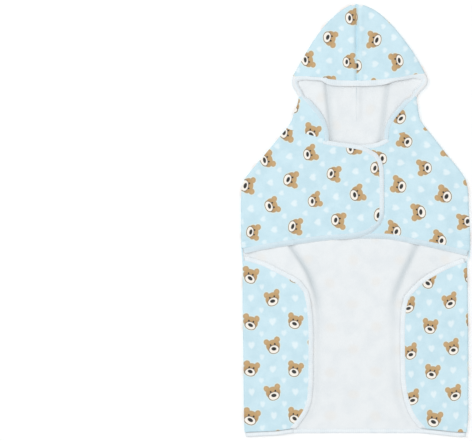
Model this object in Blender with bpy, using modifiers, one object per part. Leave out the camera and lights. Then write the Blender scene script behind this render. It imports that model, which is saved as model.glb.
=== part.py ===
"""Hooded dog bathrobe of printed fleece, lying flat on its back with its front up.

The cloth lies in two layers, three where the chest fronts cross. Each cut piece is a wall of fleece
made from its middle surface, and the two layers meet in a soft roll along the sides. Lengths in the
tables are millimetres: x to the viewer's right, height up from the bottom hem towards the hood.
"""

import math
from collections import namedtuple

import bmesh
import bpy
from mathutils import Vector

MM = 0.001

# Driving sizes, in millimetres
LENGTH = 650.0           # bottom hem to the hood's point
CLOTH = 2.0              # thickness of the fleece
SEAM_GAP = 0.3           # left between two pieces that are sewn together
LAYER_GAP = 0.5          # left between two layers that lie on each other
LIP_TRIM = 0.6           # taken off each edge that meets another at the outermost line of the roll
ROLL = 2.0               # radius of the middle surface where the cloth turns over at the sides
ROLL_FADE = 20.0         # how far in from the roll the upper layer settles on the lower one
HOOD_SEAM_X = 1.5        # the hood's centre seam
RIM_WIDTH = 8.5          # binding over the brow of the hood
CHEEK_WIDTH = 6.5        # binding down the sides of the face opening
WING_WIDTH = 4.0         # the same binding round the wings of the hood
FRONT_WIDTH = 6.5        # binding of the chest fronts' necklines and free edges
CHEST_HEM_WIDTH = 8.0    # binding of the chest fronts' hems
FLAP_WIDTH = 6.8         # binding of the flaps
HEM_CLEARANCE = 1.0      # how far above its panel's foot a flap's binding ends
HEM_WIDTH = 6.0          # binding of the bottom hem
HEM_DROP = (1.0, 9.0)    # how far past a flap's edge the hem starts and ends its step down
HEM_END, HEM_END_RUN = 0.65, 3.5  # share of the hem's height at its ends, and how fast it rises to full
MITRE_LIMIT = 0.65       # keeps a mitred binding from running out where its edge turns sharply
BINDING_RISE = 0.6       # how far a binding stands above the cloth it finishes
BROW_LIFT = 2.6          # how far the brow of the hood stands off the lining
BROW_LIFT_RUN, BROW_LIFT_FADE = 40.0, 105.0  # how far in from the roll, and up, that lift takes
NECKLINE_LIFT = 0.8      # the same at the chest fronts' necklines
NECKLINE_LIFT_START = (0.3, 0.8)  # shares of their width and height at which that lift starts
CREASE_LIMIT = 0.78      # share of the half width within which the back's rows gather at the creases
HIDDEN_EDGE = -4.0       # x of the lower chest front's edge, under the upper one
CROSSING = (-38.0, -21.0)  # where the upper chest front climbs over the lower one
COVER = 12.0             # how far round a ridge an upper layer is already lifted over it
BINDING_DIP, BINDING_CLIMB = 0.08, 0.3  # steepest slopes at which a binding carries on its panel
WING_REACH = 13.0        # width of the narrow lip of cloth that folds over at the hood's wings
NECK_CORNER = (2.8, 0.3)  # how far the chest fronts' neck corner lies out from the hood's, and above
GATHER_SPREAD = 3.2      # half the height that one side gather takes up

STRAIGHTEN = 6           # how fast the hood's rows straighten out away from its brow and neck
HOOD_SIDE_SHARE = 0.8    # share of the way out at which the neck seam starts to meet the side roll
BROW_CORNER_SHARE = 0.1  # share of the way in at which the brow's rows have left the side roll
BLEND_SHARE = 0.25       # share of a front's width over which its edge bends into the side roll
SIDE_SHARE = 0.12        # share of the width over which the back's rows bend to the hem and the neck

LEFT, RIGHT = -1, 1
STEP = CLOTH + LAYER_GAP
CROSS_STEP = STEP + BINDING_RISE
UP = Vector((0.0, 0.0, 1.0))

Outline = namedtuple("Outline", "height left right")
SILHOUETTE = (
    Outline(0, -164.5, 165.5), Outline(10, -166.5, 167.2), Outline(40, -167.4, 169.0),
    Outline(130, -168.4, 169.0), Outline(220, -169.4, 168.0), Outline(262, -169.4, 167.2),
    Outline(271, -170.4, 171.2), Outline(295, -171.6, 172.0), Outline(340, -172.0, 169.9),
    Outline(368, -171.3, 168.7), Outline(385, -167.3, 165.3), Outline(397, -158.8, 158.2),
    Outline(427, -133.4, 134.2), Outline(451, -113.3, 115.6), Outline(463, -103.3, 105.8),
    Outline(475, -95.8, 97.6), Outline(487, -92.0, 94.3), Outline(499, -87.3, 92.6),
    Outline(509, -85.4, 91.8), Outline(517, -89.4, 96.6), Outline(523, -92.9, 102.6),
    Outline(529, -95.0, 107.0), Outline(535, -95.4, 108.3), Outline(541, -93.9, 106.2),
    Outline(547, -90.8, 103.2), Outline(562, -82.3, 95.2), Outline(580, -72.0, 84.2),
    Outline(598, -60.6, 71.0), Outline(616, -47.2, 56.2), Outline(629, -34.6, 42.9),
    Outline(639, -22.5, 30.5), Outline(646, -11.0, 16.3), Outline(649, -4.0, 8.5),
)

Crease = namedtuple("Crease", "height left right ridge")
BODY_CREASES = (
    Crease(8, -88, 92, 0.0), Crease(30, -74, 79, 0.8), Crease(60, -63, 67, 1.0),
    Crease(160, -61, 62, 1.0), Crease(195, -62, 62, 1.8), Crease(213, -65, 64, 3.2),
    Crease(228, -70, 70, 3.8), Crease(246, -77, 77, 4.0), Crease(264, -88, 86, 4.0),
    Crease(286, -103, 96, 2.8), Crease(312, -120, 112, 1.2), Crease(336, -130, 124, 0.0),
)
HOOD_CREASES = (
    Crease(405, -40, 42, 0.0), Crease(440, -41, 43, 2.4), Crease(480, -45, 48, 3.0),
    Crease(528, -50, 53, 2.6), Crease(570, -52, 55, 0.0),
)
BODY_CREASE_REACH = (45.0, 8.0)   # how far a ridge runs out towards the side and towards the middle
HOOD_CREASE_REACH = (34.0, 9.0)

Pleat = namedtuple("Pleat", "height depth reach")
SIDE_GATHERS = (                   # small folds where the chest fronts' hems are gathered into the sides
    Pleat(283.0, 0.8, 20), Pleat(289.5, 0.7, 26), Pleat(296.5, 0.8, 19), Pleat(304.0, 0.5, 23),
    Pleat(312.0, 0.4, 15),
)

Edge = namedtuple("Edge", "left_x left_y right_x right_y")
FACE_SIDES = (                     # the hood's cut edge from the neck up to the wing
    Edge(-46.5, 447.0, 49.5, 452.5), Edge(-47.5, 458.0, 50.5, 461.5), Edge(-51.5, 472.0, 56.0, 473.0),
    Edge(-60.0, 486.0, 64.5, 484.5), Edge(-70.5, 498.0, 75.5, 496.5), Edge(-79.5, 508.5, 86.0, 508.0),
)
FLAP_SIDE = (                      # the flap's cut edge, from the bottom hem up to its shoulder
    Edge(-99.0, 12.5, 106.0, 13.0), Edge(-84.5, 31.0, 90.5, 31.0), Edge(-77.0, 43.5, 83.0, 46.0),
    Edge(-72.5, 60.0, 78.5, 62.0), Edge(-70.7, 90.0, 74.8, 90.0), Edge(-70.6, 160.0, 73.8, 160.0),
    Edge(-73.5, 197.0, 75.3, 190.0), Edge(-77.8, 216.5, 79.5, 208.0),
)
FLAP_TOP = (                       # the flap's cut edge from the side in to its shoulder
    Edge(-169.0, 264.5, 167.0, 261.5), Edge(-143.0, 258.0, 144.0, 254.5), Edge(-124.0, 249.0, 122.5, 244.0),
    Edge(-105.0, 239.5, 103.5, 232.5), Edge(-89.0, 230.5, 89.5, 219.5), Edge(-77.8, 216.5, 79.5, 208.0),
)

Point = namedtuple("Point", "x y")
BROW = (                           # the hood's cut edge across the brow, left wing to right wing
    Point(-93.0, 541.5), Point(-52.0, 539.0), Point(-29.0, 535.0), Point(1.5, 534.5),
    Point(25.0, 535.0), Point(55.0, 538.0), Point(103.0, 546.0),
)
HEM_LINE = (                       # lower edge of the bottom hem's binding
    Point(-164.5, 0.5), Point(-121.0, 2.5), Point(-92.0, 5.8), Point(-4.0, 6.2), Point(94.0, 6.0),
    Point(125.0, 3.4), Point(155.0, 0.6), Point(165.5, 0.5),
)
BACK_NECK = (                      # seam between the back and the hood
    Point(-102.5, 464.0), Point(-60.0, 460.5), Point(0.0, 459.0), Point(60.0, 461.0), Point(103.5, 465.5),
)
LEFT_CHEST_HEM = (
    Point(-170.5, 283.0), Point(-140.0, 289.0), Point(-106.0, 294.5), Point(-53.0, 302.0),
    Point(-5.0, 306.0), Point(14.0, 310.5), Point(25.5, 316.5),
)
LEFT_CHEST_FRONT = (
    Point(25.5, 316.5), Point(32.5, 323.5), Point(35.6, 334.0), Point(35.8, 370.0), Point(35.3, 398.0),
    Point(32.8, 411.0), Point(26.5, 420.5),
)
LEFT_NECKLINE = (
    Point(-47.0, 439.0), Point(-30.0, 436.0), Point(-8.0, 433.0), Point(7.0, 430.3), Point(26.5, 420.5),
)
RIGHT_CHEST_HEM = (
    Point(171.0, 279.5), Point(149.0, 284.5), Point(116.0, 292.0), Point(91.0, 297.0),
    Point(44.0, 305.2), Point(HIDDEN_EDGE, 306.0),
)
RIGHT_NECKLINE = (
    Point(48.5, 441.5), Point(33.0, 434.8), Point(17.0, 432.4), Point(HIDDEN_EDGE, 431.0),
)

WING_HEIGHTS = {LEFT: (516.0, 523.0, 529.5, 536.0), RIGHT: (515.5, 522.0, 528.5, 534.5, 540.5)}
WING_TOP = {LEFT: 541.5, RIGHT: 546.0}     # silhouette height where the brow starts
WING_FOOT = 510.0                          # silhouette height where the wing starts
NECK_HEIGHT = {LEFT: 463.5, RIGHT: 465.0}  # silhouette height of the neck seam
SEAM_FOOT = 459.0                          # foot of the hood's back seam
HOOD_TOP = 648.0                           # silhouette height of the hood's last row
HOOD_POINT = 649.2                         # the point, on the centre seam


Band = namedtuple("Band", "start end rows")
BACK_BANDS = (Band(0.0, 0.28, 4), Band(0.28, 0.62, 9), Band(0.62, 0.79, 3), Band(0.79, 1.0, 6))
FLAP_BANDS = (Band(0.0, 0.62, 9), Band(0.62, 1.0, 8))
CHEST_ROWS, FLAP_COLUMNS, BACK_COLUMNS = 7, 8, 6
CHEEK_ROWS, BROW_ROWS, HEM_RINGS = 6, 11, 34
HOOD_COLUMNS, ARC_COLUMNS = 7, 2
SHOULDER_COLUMNS = (0.08, 0.18, 0.3, 0.42)  # shares of a chest front's width up to the neck corner
NECKLINE_START = 0.44                       # share of it at which the neckline starts
NECKLINE_COLUMNS = 6
BINDING_SECTION = ((-1.0, -0.3), (-0.6, -1.0), (0.6, -1.0), (1.0, -0.3), (0.6, 1.0), (-0.6, 1.0))

Finish = namedtuple("Finish", "colour roughness")
FLEECE = Finish((0.61, 0.82, 0.92, 1.0), 0.95)
BINDING = Finish((0.86, 0.90, 0.93, 1.0), 0.9)


def clear_scene():
    for item in list(bpy.data.objects):
        bpy.data.objects.remove(item, do_unlink=True)


def smooth(share):
    """0 at 0 and below, 1 at 1 and above, with no corner between."""
    share = min(1.0, max(0.0, share))
    return share * share * (3.0 - 2.0 * share)


class Line:
    """A smooth line through table rows, which never overshoots a row's values."""

    def __init__(self, knots, rows):
        self.knots = [float(knot) for knot in knots]
        self.rows = [tuple(float(value) for value in row) for row in rows]
        self.slopes = [self._slope(i) for i in range(len(self.rows))]

    def _chord(self, i, column):
        run = self.knots[i + 1] - self.knots[i]
        return (self.rows[i + 1][column] - self.rows[i][column]) / run

    def _slope(self, i):
        slopes = []
        for column in range(len(self.rows[0])):
            if i == 0 or i == len(self.rows) - 1:
                slopes.append(self._chord(min(i, len(self.rows) - 2), column))
                continue
            before, after = self._chord(i - 1, column), self._chord(i, column)
            level = before * after <= 0.0
            slopes.append(0.0 if level else 2.0 * before * after / (before + after))
        return slopes

    def at(self, knot):
        knot = min(self.knots[-1], max(self.knots[0], knot))
        i = max(k for k in range(len(self.knots) - 1) if self.knots[k] <= knot or k == 0)
        run = self.knots[i + 1] - self.knots[i]
        t = (knot - self.knots[i]) / run
        start, end = (1 + 2 * t) * (1 - t) ** 2, t * t * (3 - 2 * t)
        leave, arrive = t * (1 - t) ** 2 * run, t * t * (t - 1) * run
        return [
            start * a + end * b + leave * da + arrive * db
            for a, b, da, db in zip(self.rows[i], self.rows[i + 1], self.slopes[i], self.slopes[i + 1])
        ]


def plan_line(points):
    """The smooth line through plan points, by its share of the way along them."""
    points = [Vector(point) for point in points]
    run = [0.0]
    for before, after in zip(points, points[1:]):
        run.append(run[-1] + (after - before).length)
    line = Line([length / run[-1] for length in run], points)
    return lambda share: Vector(line.at(share))


def edge_points(table, side):
    return [(row.left_x, row.left_y) if side == LEFT else (row.right_x, row.right_y) for row in table]


outline = Line([row.height for row in SILHOUETTE], [(row.left, row.right) for row in SILHOUETTE])
body_creases = Line([row.height for row in BODY_CREASES], [row[1:] for row in BODY_CREASES])
hood_creases = Line([row.height for row in HOOD_CREASES], [row[1:] for row in HOOD_CREASES])
brow = Line([point.x for point in BROW], [(point.y,) for point in BROW])
hem_line = Line([point.x for point in HEM_LINE], [(point.y,) for point in HEM_LINE])
back_neck = Line([point.x for point in BACK_NECK], [(point.y,) for point in BACK_NECK])


def silhouette(side, height):
    return Vector((outline.at(height)[0 if side == LEFT else 1], height))


def outward(side, height):
    """The plan direction square to the silhouette, away from the cloth."""
    along = silhouette(side, height + 2.0) - silhouette(side, height - 2.0)
    return Vector((along.y, -along.x)).normalized() * side


def ridges(x, y):
    """Height of the soft creases in the lining above the flat cloth."""
    rise = 0.0
    for creases, reach in ((body_creases, BODY_CREASE_REACH), (hood_creases, HOOD_CREASE_REACH)):
        if not creases.knots[0] < y < creases.knots[-1]:
            continue
        left, right, ridge = creases.at(y)
        for side, crest in ((LEFT, left), (RIGHT, right)):
            out = (x - crest) * side
            rise += ridge * smooth(1.0 - (out / reach[0] if out > 0 else -out / reach[1]))
    return rise


def lower_height(x, y):
    return CLOTH / 2 + ridges(x, y)


def cover_height(x, y):
    """Middle of the cloth under an upper layer, with its ridges spread as the cloth bridges them."""
    places = [(0.0, 0.0)]
    for turn in range(8):
        angle = math.pi * turn / 4
        places.append((COVER * math.cos(angle), COVER * math.sin(angle)))
    return max(lower_height(x + dx, y + dy) for dx, dy in places)


def upper_height(x, y, inside, climb=0.0):
    """Middle of an upper layer, at a distance in from the silhouette's roll."""
    settle = 1.0 - smooth(inside / ROLL_FADE)
    return cover_height(x, y) + STEP + climb + (2 * ROLL - STEP) * settle


def roll_point(side, height, turn):
    """A point of the side roll: turn 0 is under it, a half its outermost line, 1 on top of it."""
    angle = math.pi * turn
    inset = CLOTH / 2 + ROLL - ROLL * math.sin(angle)
    plan = silhouette(side, height) - outward(side, height) * inset
    return Vector((plan.x, plan.y, CLOTH / 2 + ROLL - ROLL * math.cos(angle)))


def plan_of(point):
    return Vector((point[0], point[1]))


def patch_point(bottom, top, start, end, u, v):
    """A plan point of the patch between four boundary lines."""
    sides = start(v) * (1 - u) + end(v) * u
    ends = bottom(u) * (1 - v) + top(u) * v
    corners = (start(0) * (1 - u) + end(0) * u) * (1 - v) + (start(1) * (1 - u) + end(1) * u) * v
    return sides + ends - corners


def shares(count, start=0.0, end=1.0):
    return [start + (end - start) * i / count for i in range(count + 1)]


def band_shares(bands):
    """Places of rows that lie closer together in some bands than in others."""
    places = [bands[0].start]
    for band in bands:
        places += shares(band.rows, band.start, band.end)[1:]
    return places


def finish_material(name, finish):
    material = bpy.data.materials.new(name)
    material.use_nodes = True
    shader = material.node_tree.nodes["Principled BSDF"]
    shader.inputs["Base Color"].default_value = finish.colour
    shader.inputs["Roughness"].default_value = finish.roughness
    shader.inputs["Metallic"].default_value = 0.0
    material.diffuse_color = finish.colour
    return material


def world_point(point):
    return Vector((point[0], point[1] - LENGTH / 2, point[2])) * MM


def add_object(name, mesh, finish, collection):
    item = bpy.data.objects.new(name, mesh)
    item.data.materials.append(finish_material(name, finish))
    collection.objects.link(item)
    return item


def cloth_sheet(name, rows, collection, has_face=lambda row, column: True):
    """A wall of cloth on the middle surface that the rows of points give."""
    work = bmesh.new()
    used = set()
    for r in range(len(rows) - 1):
        for c in range(len(rows[0]) - 1):
            if has_face(r, c):
                used.update({(r, c), (r, c + 1), (r + 1, c + 1), (r + 1, c)})
    points = {key: work.verts.new(world_point(rows[key[0]][key[1]])) for key in sorted(used)}
    for r in range(len(rows) - 1):
        for c in range(len(rows[0]) - 1):
            if has_face(r, c):
                corners = (r, c), (r, c + 1), (r + 1, c + 1), (r + 1, c)
                work.faces.new([points[corner] for corner in corners]).smooth = True
    bmesh.ops.recalc_face_normals(work, faces=work.faces)
    mesh = bpy.data.meshes.new(name)
    work.to_mesh(mesh)
    work.free()
    item = add_object(name, mesh, FLEECE, collection)
    wall = item.modifiers.new("cloth", "SOLIDIFY")
    wall.thickness = CLOTH * MM
    wall.offset = 0.0
    wall.use_even_offset = True
    wall.use_quality_normals = True
    return item


def binding_strip(name, rings, collection):
    """A folded strip lofted through rings: (centre, across, up, half width, half height)."""
    work = bmesh.new()
    loops = []
    for centre, across, up, half_width, half_height in rings:
        loop = []
        for side, height in BINDING_SECTION:
            place = centre + across * (half_width * side) + up * (half_height * height)
            loop.append(work.verts.new(world_point(place)))
        loops.append(loop)
    count = len(BINDING_SECTION)
    for before, after in zip(loops, loops[1:]):
        for k in range(count):
            following = (k + 1) % count
            work.faces.new([before[k], before[following], after[following], after[k]]).smooth = True
    work.faces.new(loops[0])
    work.faces.new(loops[-1])
    bmesh.ops.recalc_face_normals(work, faces=work.faces)
    mesh = bpy.data.meshes.new(name)
    work.to_mesh(mesh)
    work.free()
    return add_object(name, mesh, BINDING, collection)


def run_normals(edge, hand):
    """The plan direction out of the cloth along a cut edge, lengthened where the edge turns."""
    normals = []
    for before, after in zip(edge, edge[1:]):
        along = (plan_of(after) - plan_of(before)).normalized()
        normals.append(Vector((-along.y, along.x)) * hand)
    normals = [normals[0]] + normals + [normals[-1]]
    mitred = []
    for before, after in zip(normals, normals[1:]):
        middle = (before + after).normalized()
        mitred.append(middle / max(MITRE_LIMIT, middle.dot(after)))
    return mitred


def edge_rings(edge, inner, hand, widths):
    """Rings of a binding that carries on a panel past its cut edge.

    inner holds the panel's points next to the edge, and the binding lies on the left (1) or right (-1)
    hand of the edge's run.
    """
    rings = []
    for point, back, normal, width in zip(edge, inner, run_normals(edge, hand), widths):
        reach = (plan_of(point) - plan_of(back)).length
        slope = max(-BINDING_DIP, min(BINDING_CLIMB, (point.z - back.z) / max(reach, 1.0)))
        across = Vector((normal.x, normal.y, slope))
        centre = point + across * (SEAM_GAP + width / 2) + UP * (BINDING_RISE / 2)
        rings.append((centre, across, UP, width / 2, (CLOTH + BINDING_RISE) / 2))
    return rings


# ---- the back ----

def back_columns(y, start, end):
    """The back's column places across a row, gathered along the two creases."""
    left, right, _ = body_creases.at(y)
    left, right = max(left, start * CREASE_LIMIT), min(right, end * CREASE_LIMIT)
    into = BODY_CREASE_REACH[1]
    shoulder = 1.5 * into
    places = shares(3, start, left - shoulder)
    places += [left - shoulder / 2, left, left + into / 2]
    places += shares(BACK_COLUMNS, left + into, right - into)
    places += [right - into / 2, right, right + shoulder / 2]
    places += shares(3, right + shoulder, end)
    return [(place - start) / (end - start) for place in places]


def build_back(collection):
    foot = HEM_WIDTH + SEAM_GAP
    side_foot = foot + HEM_CLEARANCE
    rows = []
    for v in band_shares(BACK_BANDS):
        left_height, right_height = (
            side_foot + (NECK_HEIGHT[side] - SEAM_GAP - side_foot) * v for side in (LEFT, RIGHT)
        )
        left = [roll_point(LEFT, left_height, turn) for turn in shares(ARC_COLUMNS, 0.5, 0.0)]
        right = [roll_point(RIGHT, right_height, turn) for turn in shares(ARC_COLUMNS, 0.0, 0.5)]
        left[0].z -= LIP_TRIM
        right[-1].z -= LIP_TRIM
        start, end = left[-1], right[0]
        middle = []
        for u in back_columns((start.y + end.y) / 2, start.x, end.x)[1:-1]:
            x = start.x + (end.x - start.x) * u
            low = hem_line.at(x)[0] + foot
            high = back_neck.at(x)[0] - SEAM_GAP
            y = start.y + (end.y - start.y) * u
            y += (low * (1 - v) + high * v - y) * smooth(min(u, 1 - u) / SIDE_SHARE)
            middle.append(Vector((x, y, lower_height(x, y))))
        rows.append(left + middle + right)
    cloth_sheet("back_panel", rows, collection)


# ---- the belly flaps ----

def build_flap(side, collection):
    name = "left" if side == LEFT else "right"
    side_edge = plan_line(edge_points(FLAP_SIDE, side))
    top_edge = plan_line(edge_points(FLAP_TOP, side))
    foot = HEM_WIDTH + SEAM_GAP
    low, high = foot + HEM_CLEARANCE, edge_points(FLAP_TOP, side)[0][1]
    corner = edge_points(FLAP_SIDE, side)[0]

    def roll_top(v):
        return plan_of(roll_point(side, low + (high - low) * v, 1.0))

    def bottom(u):
        x = roll_top(0).x + (corner[0] - roll_top(0).x) * u
        return Vector((x, hem_line.at(x)[0] + foot))

    def top(u):
        return top_edge(u) + (roll_top(1) - top_edge(0)) * (1 - smooth(u / BLEND_SHARE))

    rows = []
    for v in band_shares(FLAP_BANDS):
        row = [roll_point(side, low + (high - low) * v, turn) for turn in shares(ARC_COLUMNS, 0.5, 1.0)]
        row[0].z += LIP_TRIM
        for u in shares(FLAP_COLUMNS)[1:]:
            plan = patch_point(bottom, top, roll_top, side_edge, u, v)
            inside = (plan - roll_top(v)).length
            row.append(Vector((plan.x, plan.y, upper_height(plan.x, plan.y, inside))))
        rows.append(row)
    cloth_sheet(f"belly_flap_{name}", rows, collection)

    edge = [row[-1] for row in rows] + rows[-1][ARC_COLUMNS:-1][::-1]
    inner = [row[-2] for row in rows] + rows[-2][ARC_COLUMNS:-1][::-1]
    hand = -1 if side == LEFT else 1
    rings = edge_rings(edge, inner, hand, [FLAP_WIDTH] * len(edge))
    rings[0] = level_end(rings[0], side)
    binding_strip(f"flap_binding_{name}", rings, collection)


def level_end(ring, side):
    """The ring at the foot of a flap's binding, turned to lie along the bottom hem."""
    centre, across, up, half_width, half_height = ring
    level = Vector((-side / abs(across.x), 0.0, 0.0))
    foot = centre - across * half_width
    centre = foot + level * (half_width + 2 * SEAM_GAP) + Vector((0.0, HEM_CLEARANCE, 0.0))
    return centre, level, up, half_width, half_height


# ---- the chest fronts ----

def gather(side_distance, height):
    """Height of the small side gathers over the smooth cloth."""
    rise = 0.0
    for pleat in SIDE_GATHERS:
        across = abs(height - pleat.height) / GATHER_SPREAD
        if across < 1.0:
            fade = 1.0 - smooth(side_distance / pleat.reach)
            rise += pleat.depth * fade * 0.5 * (1 + math.cos(math.pi * across))
    return rise


def chest_rows(side, hem, front, neckline, climb_at):
    """Rows of a chest front's middle surface, from its hem up, each from the side in."""
    hem_curve = plan_line(hem)
    front_curve = plan_line(front)
    neck_curve = plan_line(neckline)
    low, high = hem[0].y, NECK_HEIGHT[side] - SEAM_GAP
    neck_corner = Vector(edge_points(FACE_SIDES, side)[0])
    neck_corner += Vector((side * NECK_CORNER[0], NECK_CORNER[1]))
    seam_share = SHOULDER_COLUMNS[-1]

    def roll_top(v):
        return plan_of(roll_point(side, low + (high - low) * v, 1.0))

    def bottom(u):
        return hem_curve(u) + (roll_top(0) - hem_curve(0)) * (1 - smooth(u / BLEND_SHARE))

    def top(u):
        if u <= seam_share:
            return roll_top(1).lerp(neck_corner, u / seam_share)
        return neck_curve((u - NECKLINE_START) / (1 - NECKLINE_START))

    gathers = sorted({pleat.height + d for pleat in SIDE_GATHERS for d in (-GATHER_SPREAD, 0.0)})
    levels = [low] + [height for height in gathers if height > low + LAYER_GAP]
    levels += shares(CHEST_ROWS, levels[-1], high)[1:]
    columns = list(SHOULDER_COLUMNS) + shares(NECKLINE_COLUMNS, NECKLINE_START, 1.0)
    rows = []
    for level in levels:
        v = (level - low) / (high - low)
        row = [roll_point(side, level, turn) for turn in shares(ARC_COLUMNS, 0.5, 1.0)]
        row[0].z += LIP_TRIM
        for point in row[1:]:
            point.z += gather(0.0, level)
        for u in columns:
            plan = patch_point(bottom, top, roll_top, front_curve, u, v)
            inside = (plan - roll_top(v)).length
            z = upper_height(plan.x, plan.y, inside, climb_at(plan.x)) + gather(inside, level)
            at_neckline = smooth((v - NECKLINE_LIFT_START[1]) / (1 - NECKLINE_LIFT_START[1]))
            z += NECKLINE_LIFT * at_neckline * smooth((u - NECKLINE_LIFT_START[0]) / BLEND_SHARE)
            row.append(Vector((plan.x, plan.y, z)))
        rows.append(row)
    return rows


def chest_binding(name, side, rows, collection):
    """The strip along a chest front's hem, free edge and neckline."""
    neck_column = ARC_COLUMNS + len(SHOULDER_COLUMNS) + 1
    edge = rows[0][ARC_COLUMNS:] + [row[-1] for row in rows[1:]] + rows[-1][neck_column:-1][::-1]
    inner = rows[1][ARC_COLUMNS:] + [row[-2] for row in rows[1:]] + rows[-2][neck_column:-1][::-1]
    hem_count = len(rows[0]) - ARC_COLUMNS - 1
    widths = [CHEST_HEM_WIDTH] * hem_count + [FRONT_WIDTH] * (len(edge) - hem_count)
    rings = edge_rings(edge, inner, -1 if side == LEFT else 1, widths)
    binding_strip(name, rings, collection)


def build_chest(collection):
    low_x, high_x = CROSSING
    left_rows = chest_rows(
        LEFT, LEFT_CHEST_HEM, LEFT_CHEST_FRONT, LEFT_NECKLINE,
        lambda x: CROSS_STEP * smooth((x - low_x) / (high_x - low_x)),
    )
    cloth_sheet("chest_front_left", left_rows, collection)
    chest_binding("chest_binding_left", LEFT, left_rows, collection)

    hidden = (RIGHT_CHEST_HEM[-1], RIGHT_NECKLINE[-1])
    right_rows = chest_rows(RIGHT, RIGHT_CHEST_HEM, hidden, RIGHT_NECKLINE, lambda x: 0.0)
    cloth_sheet("chest_front_right", right_rows, collection)
    chest_binding("chest_binding_right", RIGHT, right_rows, collection)


# ---- the hood ----

def hood_back(seam_point, roll_foot, neck_pull=0.0):
    """A row's points across the back of the hood, from its centre seam out to the side roll."""
    points = []
    for share in shares(HOOD_COLUMNS)[:-1]:
        plan = seam_point.lerp(plan_of(roll_foot), share)
        neck_y = back_neck.at(plan.x)[0] + SEAM_GAP / 2
        at_side = smooth((share - HOOD_SIDE_SHARE) / (1 - HOOD_SIDE_SHARE))
        plan.y += (neck_y - plan.y) * neck_pull * (1 - at_side)
        points.append(Vector((plan.x, plan.y, lower_height(plan.x, plan.y))))
    return points


def hood_front(roll_top, end, brow_pull=0.0, lift=0.0):
    """A row's points across the front of the hood, from the side roll in to its cut edge or seam."""
    start = plan_of(roll_top)
    brow_y = brow.at(HOOD_SEAM_X)[0]
    points = []
    for share in shares(HOOD_COLUMNS)[1:]:
        plan = start.lerp(end, share)
        plan.y += (brow.at(plan.x)[0] - plan.y) * brow_pull * smooth(share / BROW_CORNER_SHARE)
        inside = (plan - start).length
        rise = smooth(inside / BROW_LIFT_RUN) * (1 - smooth((plan.y - brow_y) / BROW_LIFT_FADE))
        z = upper_height(plan.x, plan.y, inside) + lift * rise
        points.append(Vector((plan.x, plan.y, z)))
    return points


def between(start, end, share):
    return start + (end - start) * share


def hood_rows(side):
    """Rows of a hood half's middle surface, from the neck up, each from the back seam round to the front.

    The second list names each row's zone: cheek, wing or brow.
    """
    face = plan_line(edge_points(FACE_SIDES, side))
    seam_x = HOOD_SEAM_X + side * SEAM_GAP / 2
    wing_top = WING_TOP[side]
    brow_y = brow.at(HOOD_SEAM_X)[0]
    rows, zones = [], []

    def add(zone, height, back_y, front_end, neck_pull=0.0, brow_pull=0.0, lift=0.0):
        arc = [roll_point(side, height, turn) for turn in shares(2 * ARC_COLUMNS)]
        back = hood_back(Vector((seam_x, back_y)), arc[0], neck_pull)
        rows.append(back + arc + hood_front(arc[-1], front_end, brow_pull, lift))
        zones.append(zone)

    for share in shares(CHEEK_ROWS):
        height = between(NECK_HEIGHT[side], WING_FOOT, share)
        back_y = between(SEAM_FOOT, WING_FOOT, share)
        add("cheek", height, back_y, face(share), neck_pull=(1 - share) ** STRAIGHTEN)
    for height in WING_HEIGHTS[side]:
        add("wing", height, height, silhouette(side, height) - outward(side, height) * WING_REACH)
    for share in shares(BROW_ROWS):
        height = between(wing_top, HOOD_TOP, share)
        front_end = Vector((seam_x, between(brow_y, HOOD_POINT, share)))
        back_y = between(wing_top, HOOD_POINT, share)
        add("brow", height, back_y, front_end, brow_pull=(1 - share) ** STRAIGHTEN, lift=BROW_LIFT)
    return rows, zones


def build_hood(collection):
    rim = {}
    for side, name in ((LEFT, "left"), (RIGHT, "right")):
        rows, zones = hood_rows(side)
        front_start = HOOD_COLUMNS + 2 * ARC_COLUMNS

        def has_face(row, column, zones=zones, front_start=front_start):
            both = {zones[row], zones[row + 1]}
            return column <= front_start or both in ({"cheek"}, {"brow"})

        cloth_sheet(f"hood_{name}", rows, collection, has_face)
        cheek = [(row[-1], row[-2]) for row, zone in zip(rows, zones) if zone == "cheek"]
        edge, inner = front_start + 1, front_start
        wing = [(row[edge], row[inner]) for row, zone in zip(rows, zones) if zone == "wing"]
        first = zones.index("brow")
        top = list(zip(rows[first], rows[first + 1]))[edge:-1]
        rim[side] = (cheek, wing, top)

    points, widths = [], []
    for side in (LEFT, RIGHT):
        cheek, wing, top = rim[side]
        run = cheek + wing + top
        width = [CHEEK_WIDTH] * (len(cheek) - 1) + [WING_WIDTH] * (len(wing) + 1)
        width += [RIM_WIDTH] * len(top)
        if side == RIGHT:
            run, width = run[::-1], width[::-1]
        points += run
        widths += width
    rings = edge_rings([edge for edge, _ in points], [inner for _, inner in points], -1, widths)
    binding_strip("hood_rim_binding", rings, collection)


# ---- the bottom hem ----

def build_hem(collection):
    """The strip across the bottom, thick enough to take in the flaps as well as the back."""
    left, right = HEM_LINE[0].x, HEM_LINE[-1].x
    flap_left, flap_right = edge_points(FLAP_SIDE, LEFT)[0][0], edge_points(FLAP_SIDE, RIGHT)[0][0]
    rings = []
    for x in shares(HEM_RINGS, left, right):
        low = hem_line.at(x)[0]
        tilt = (hem_line.at(x + 1.0)[0] - hem_line.at(x - 1.0)[0]) / 2.0
        across = Vector((-tilt, 1.0, 0.0)).normalized()
        inside = min(x - left, right - x)
        past_flap = min(x - flap_left, flap_right - x)
        flap = 1 - smooth((past_flap - HEM_DROP[0]) / (HEM_DROP[1] - HEM_DROP[0]))
        upper = upper_height(x, low, inside) + CLOTH / 2
        top = CLOTH + (upper - CLOTH) * flap + BINDING_RISE
        half_height = top / 2 * (HEM_END + (1 - HEM_END) * smooth(inside / HEM_END_RUN))
        centre = Vector((x, low + HEM_WIDTH / 2, half_height))
        rings.append((centre, across, UP, HEM_WIDTH / 2, half_height))
    binding_strip("hem_binding", rings, collection)


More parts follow.
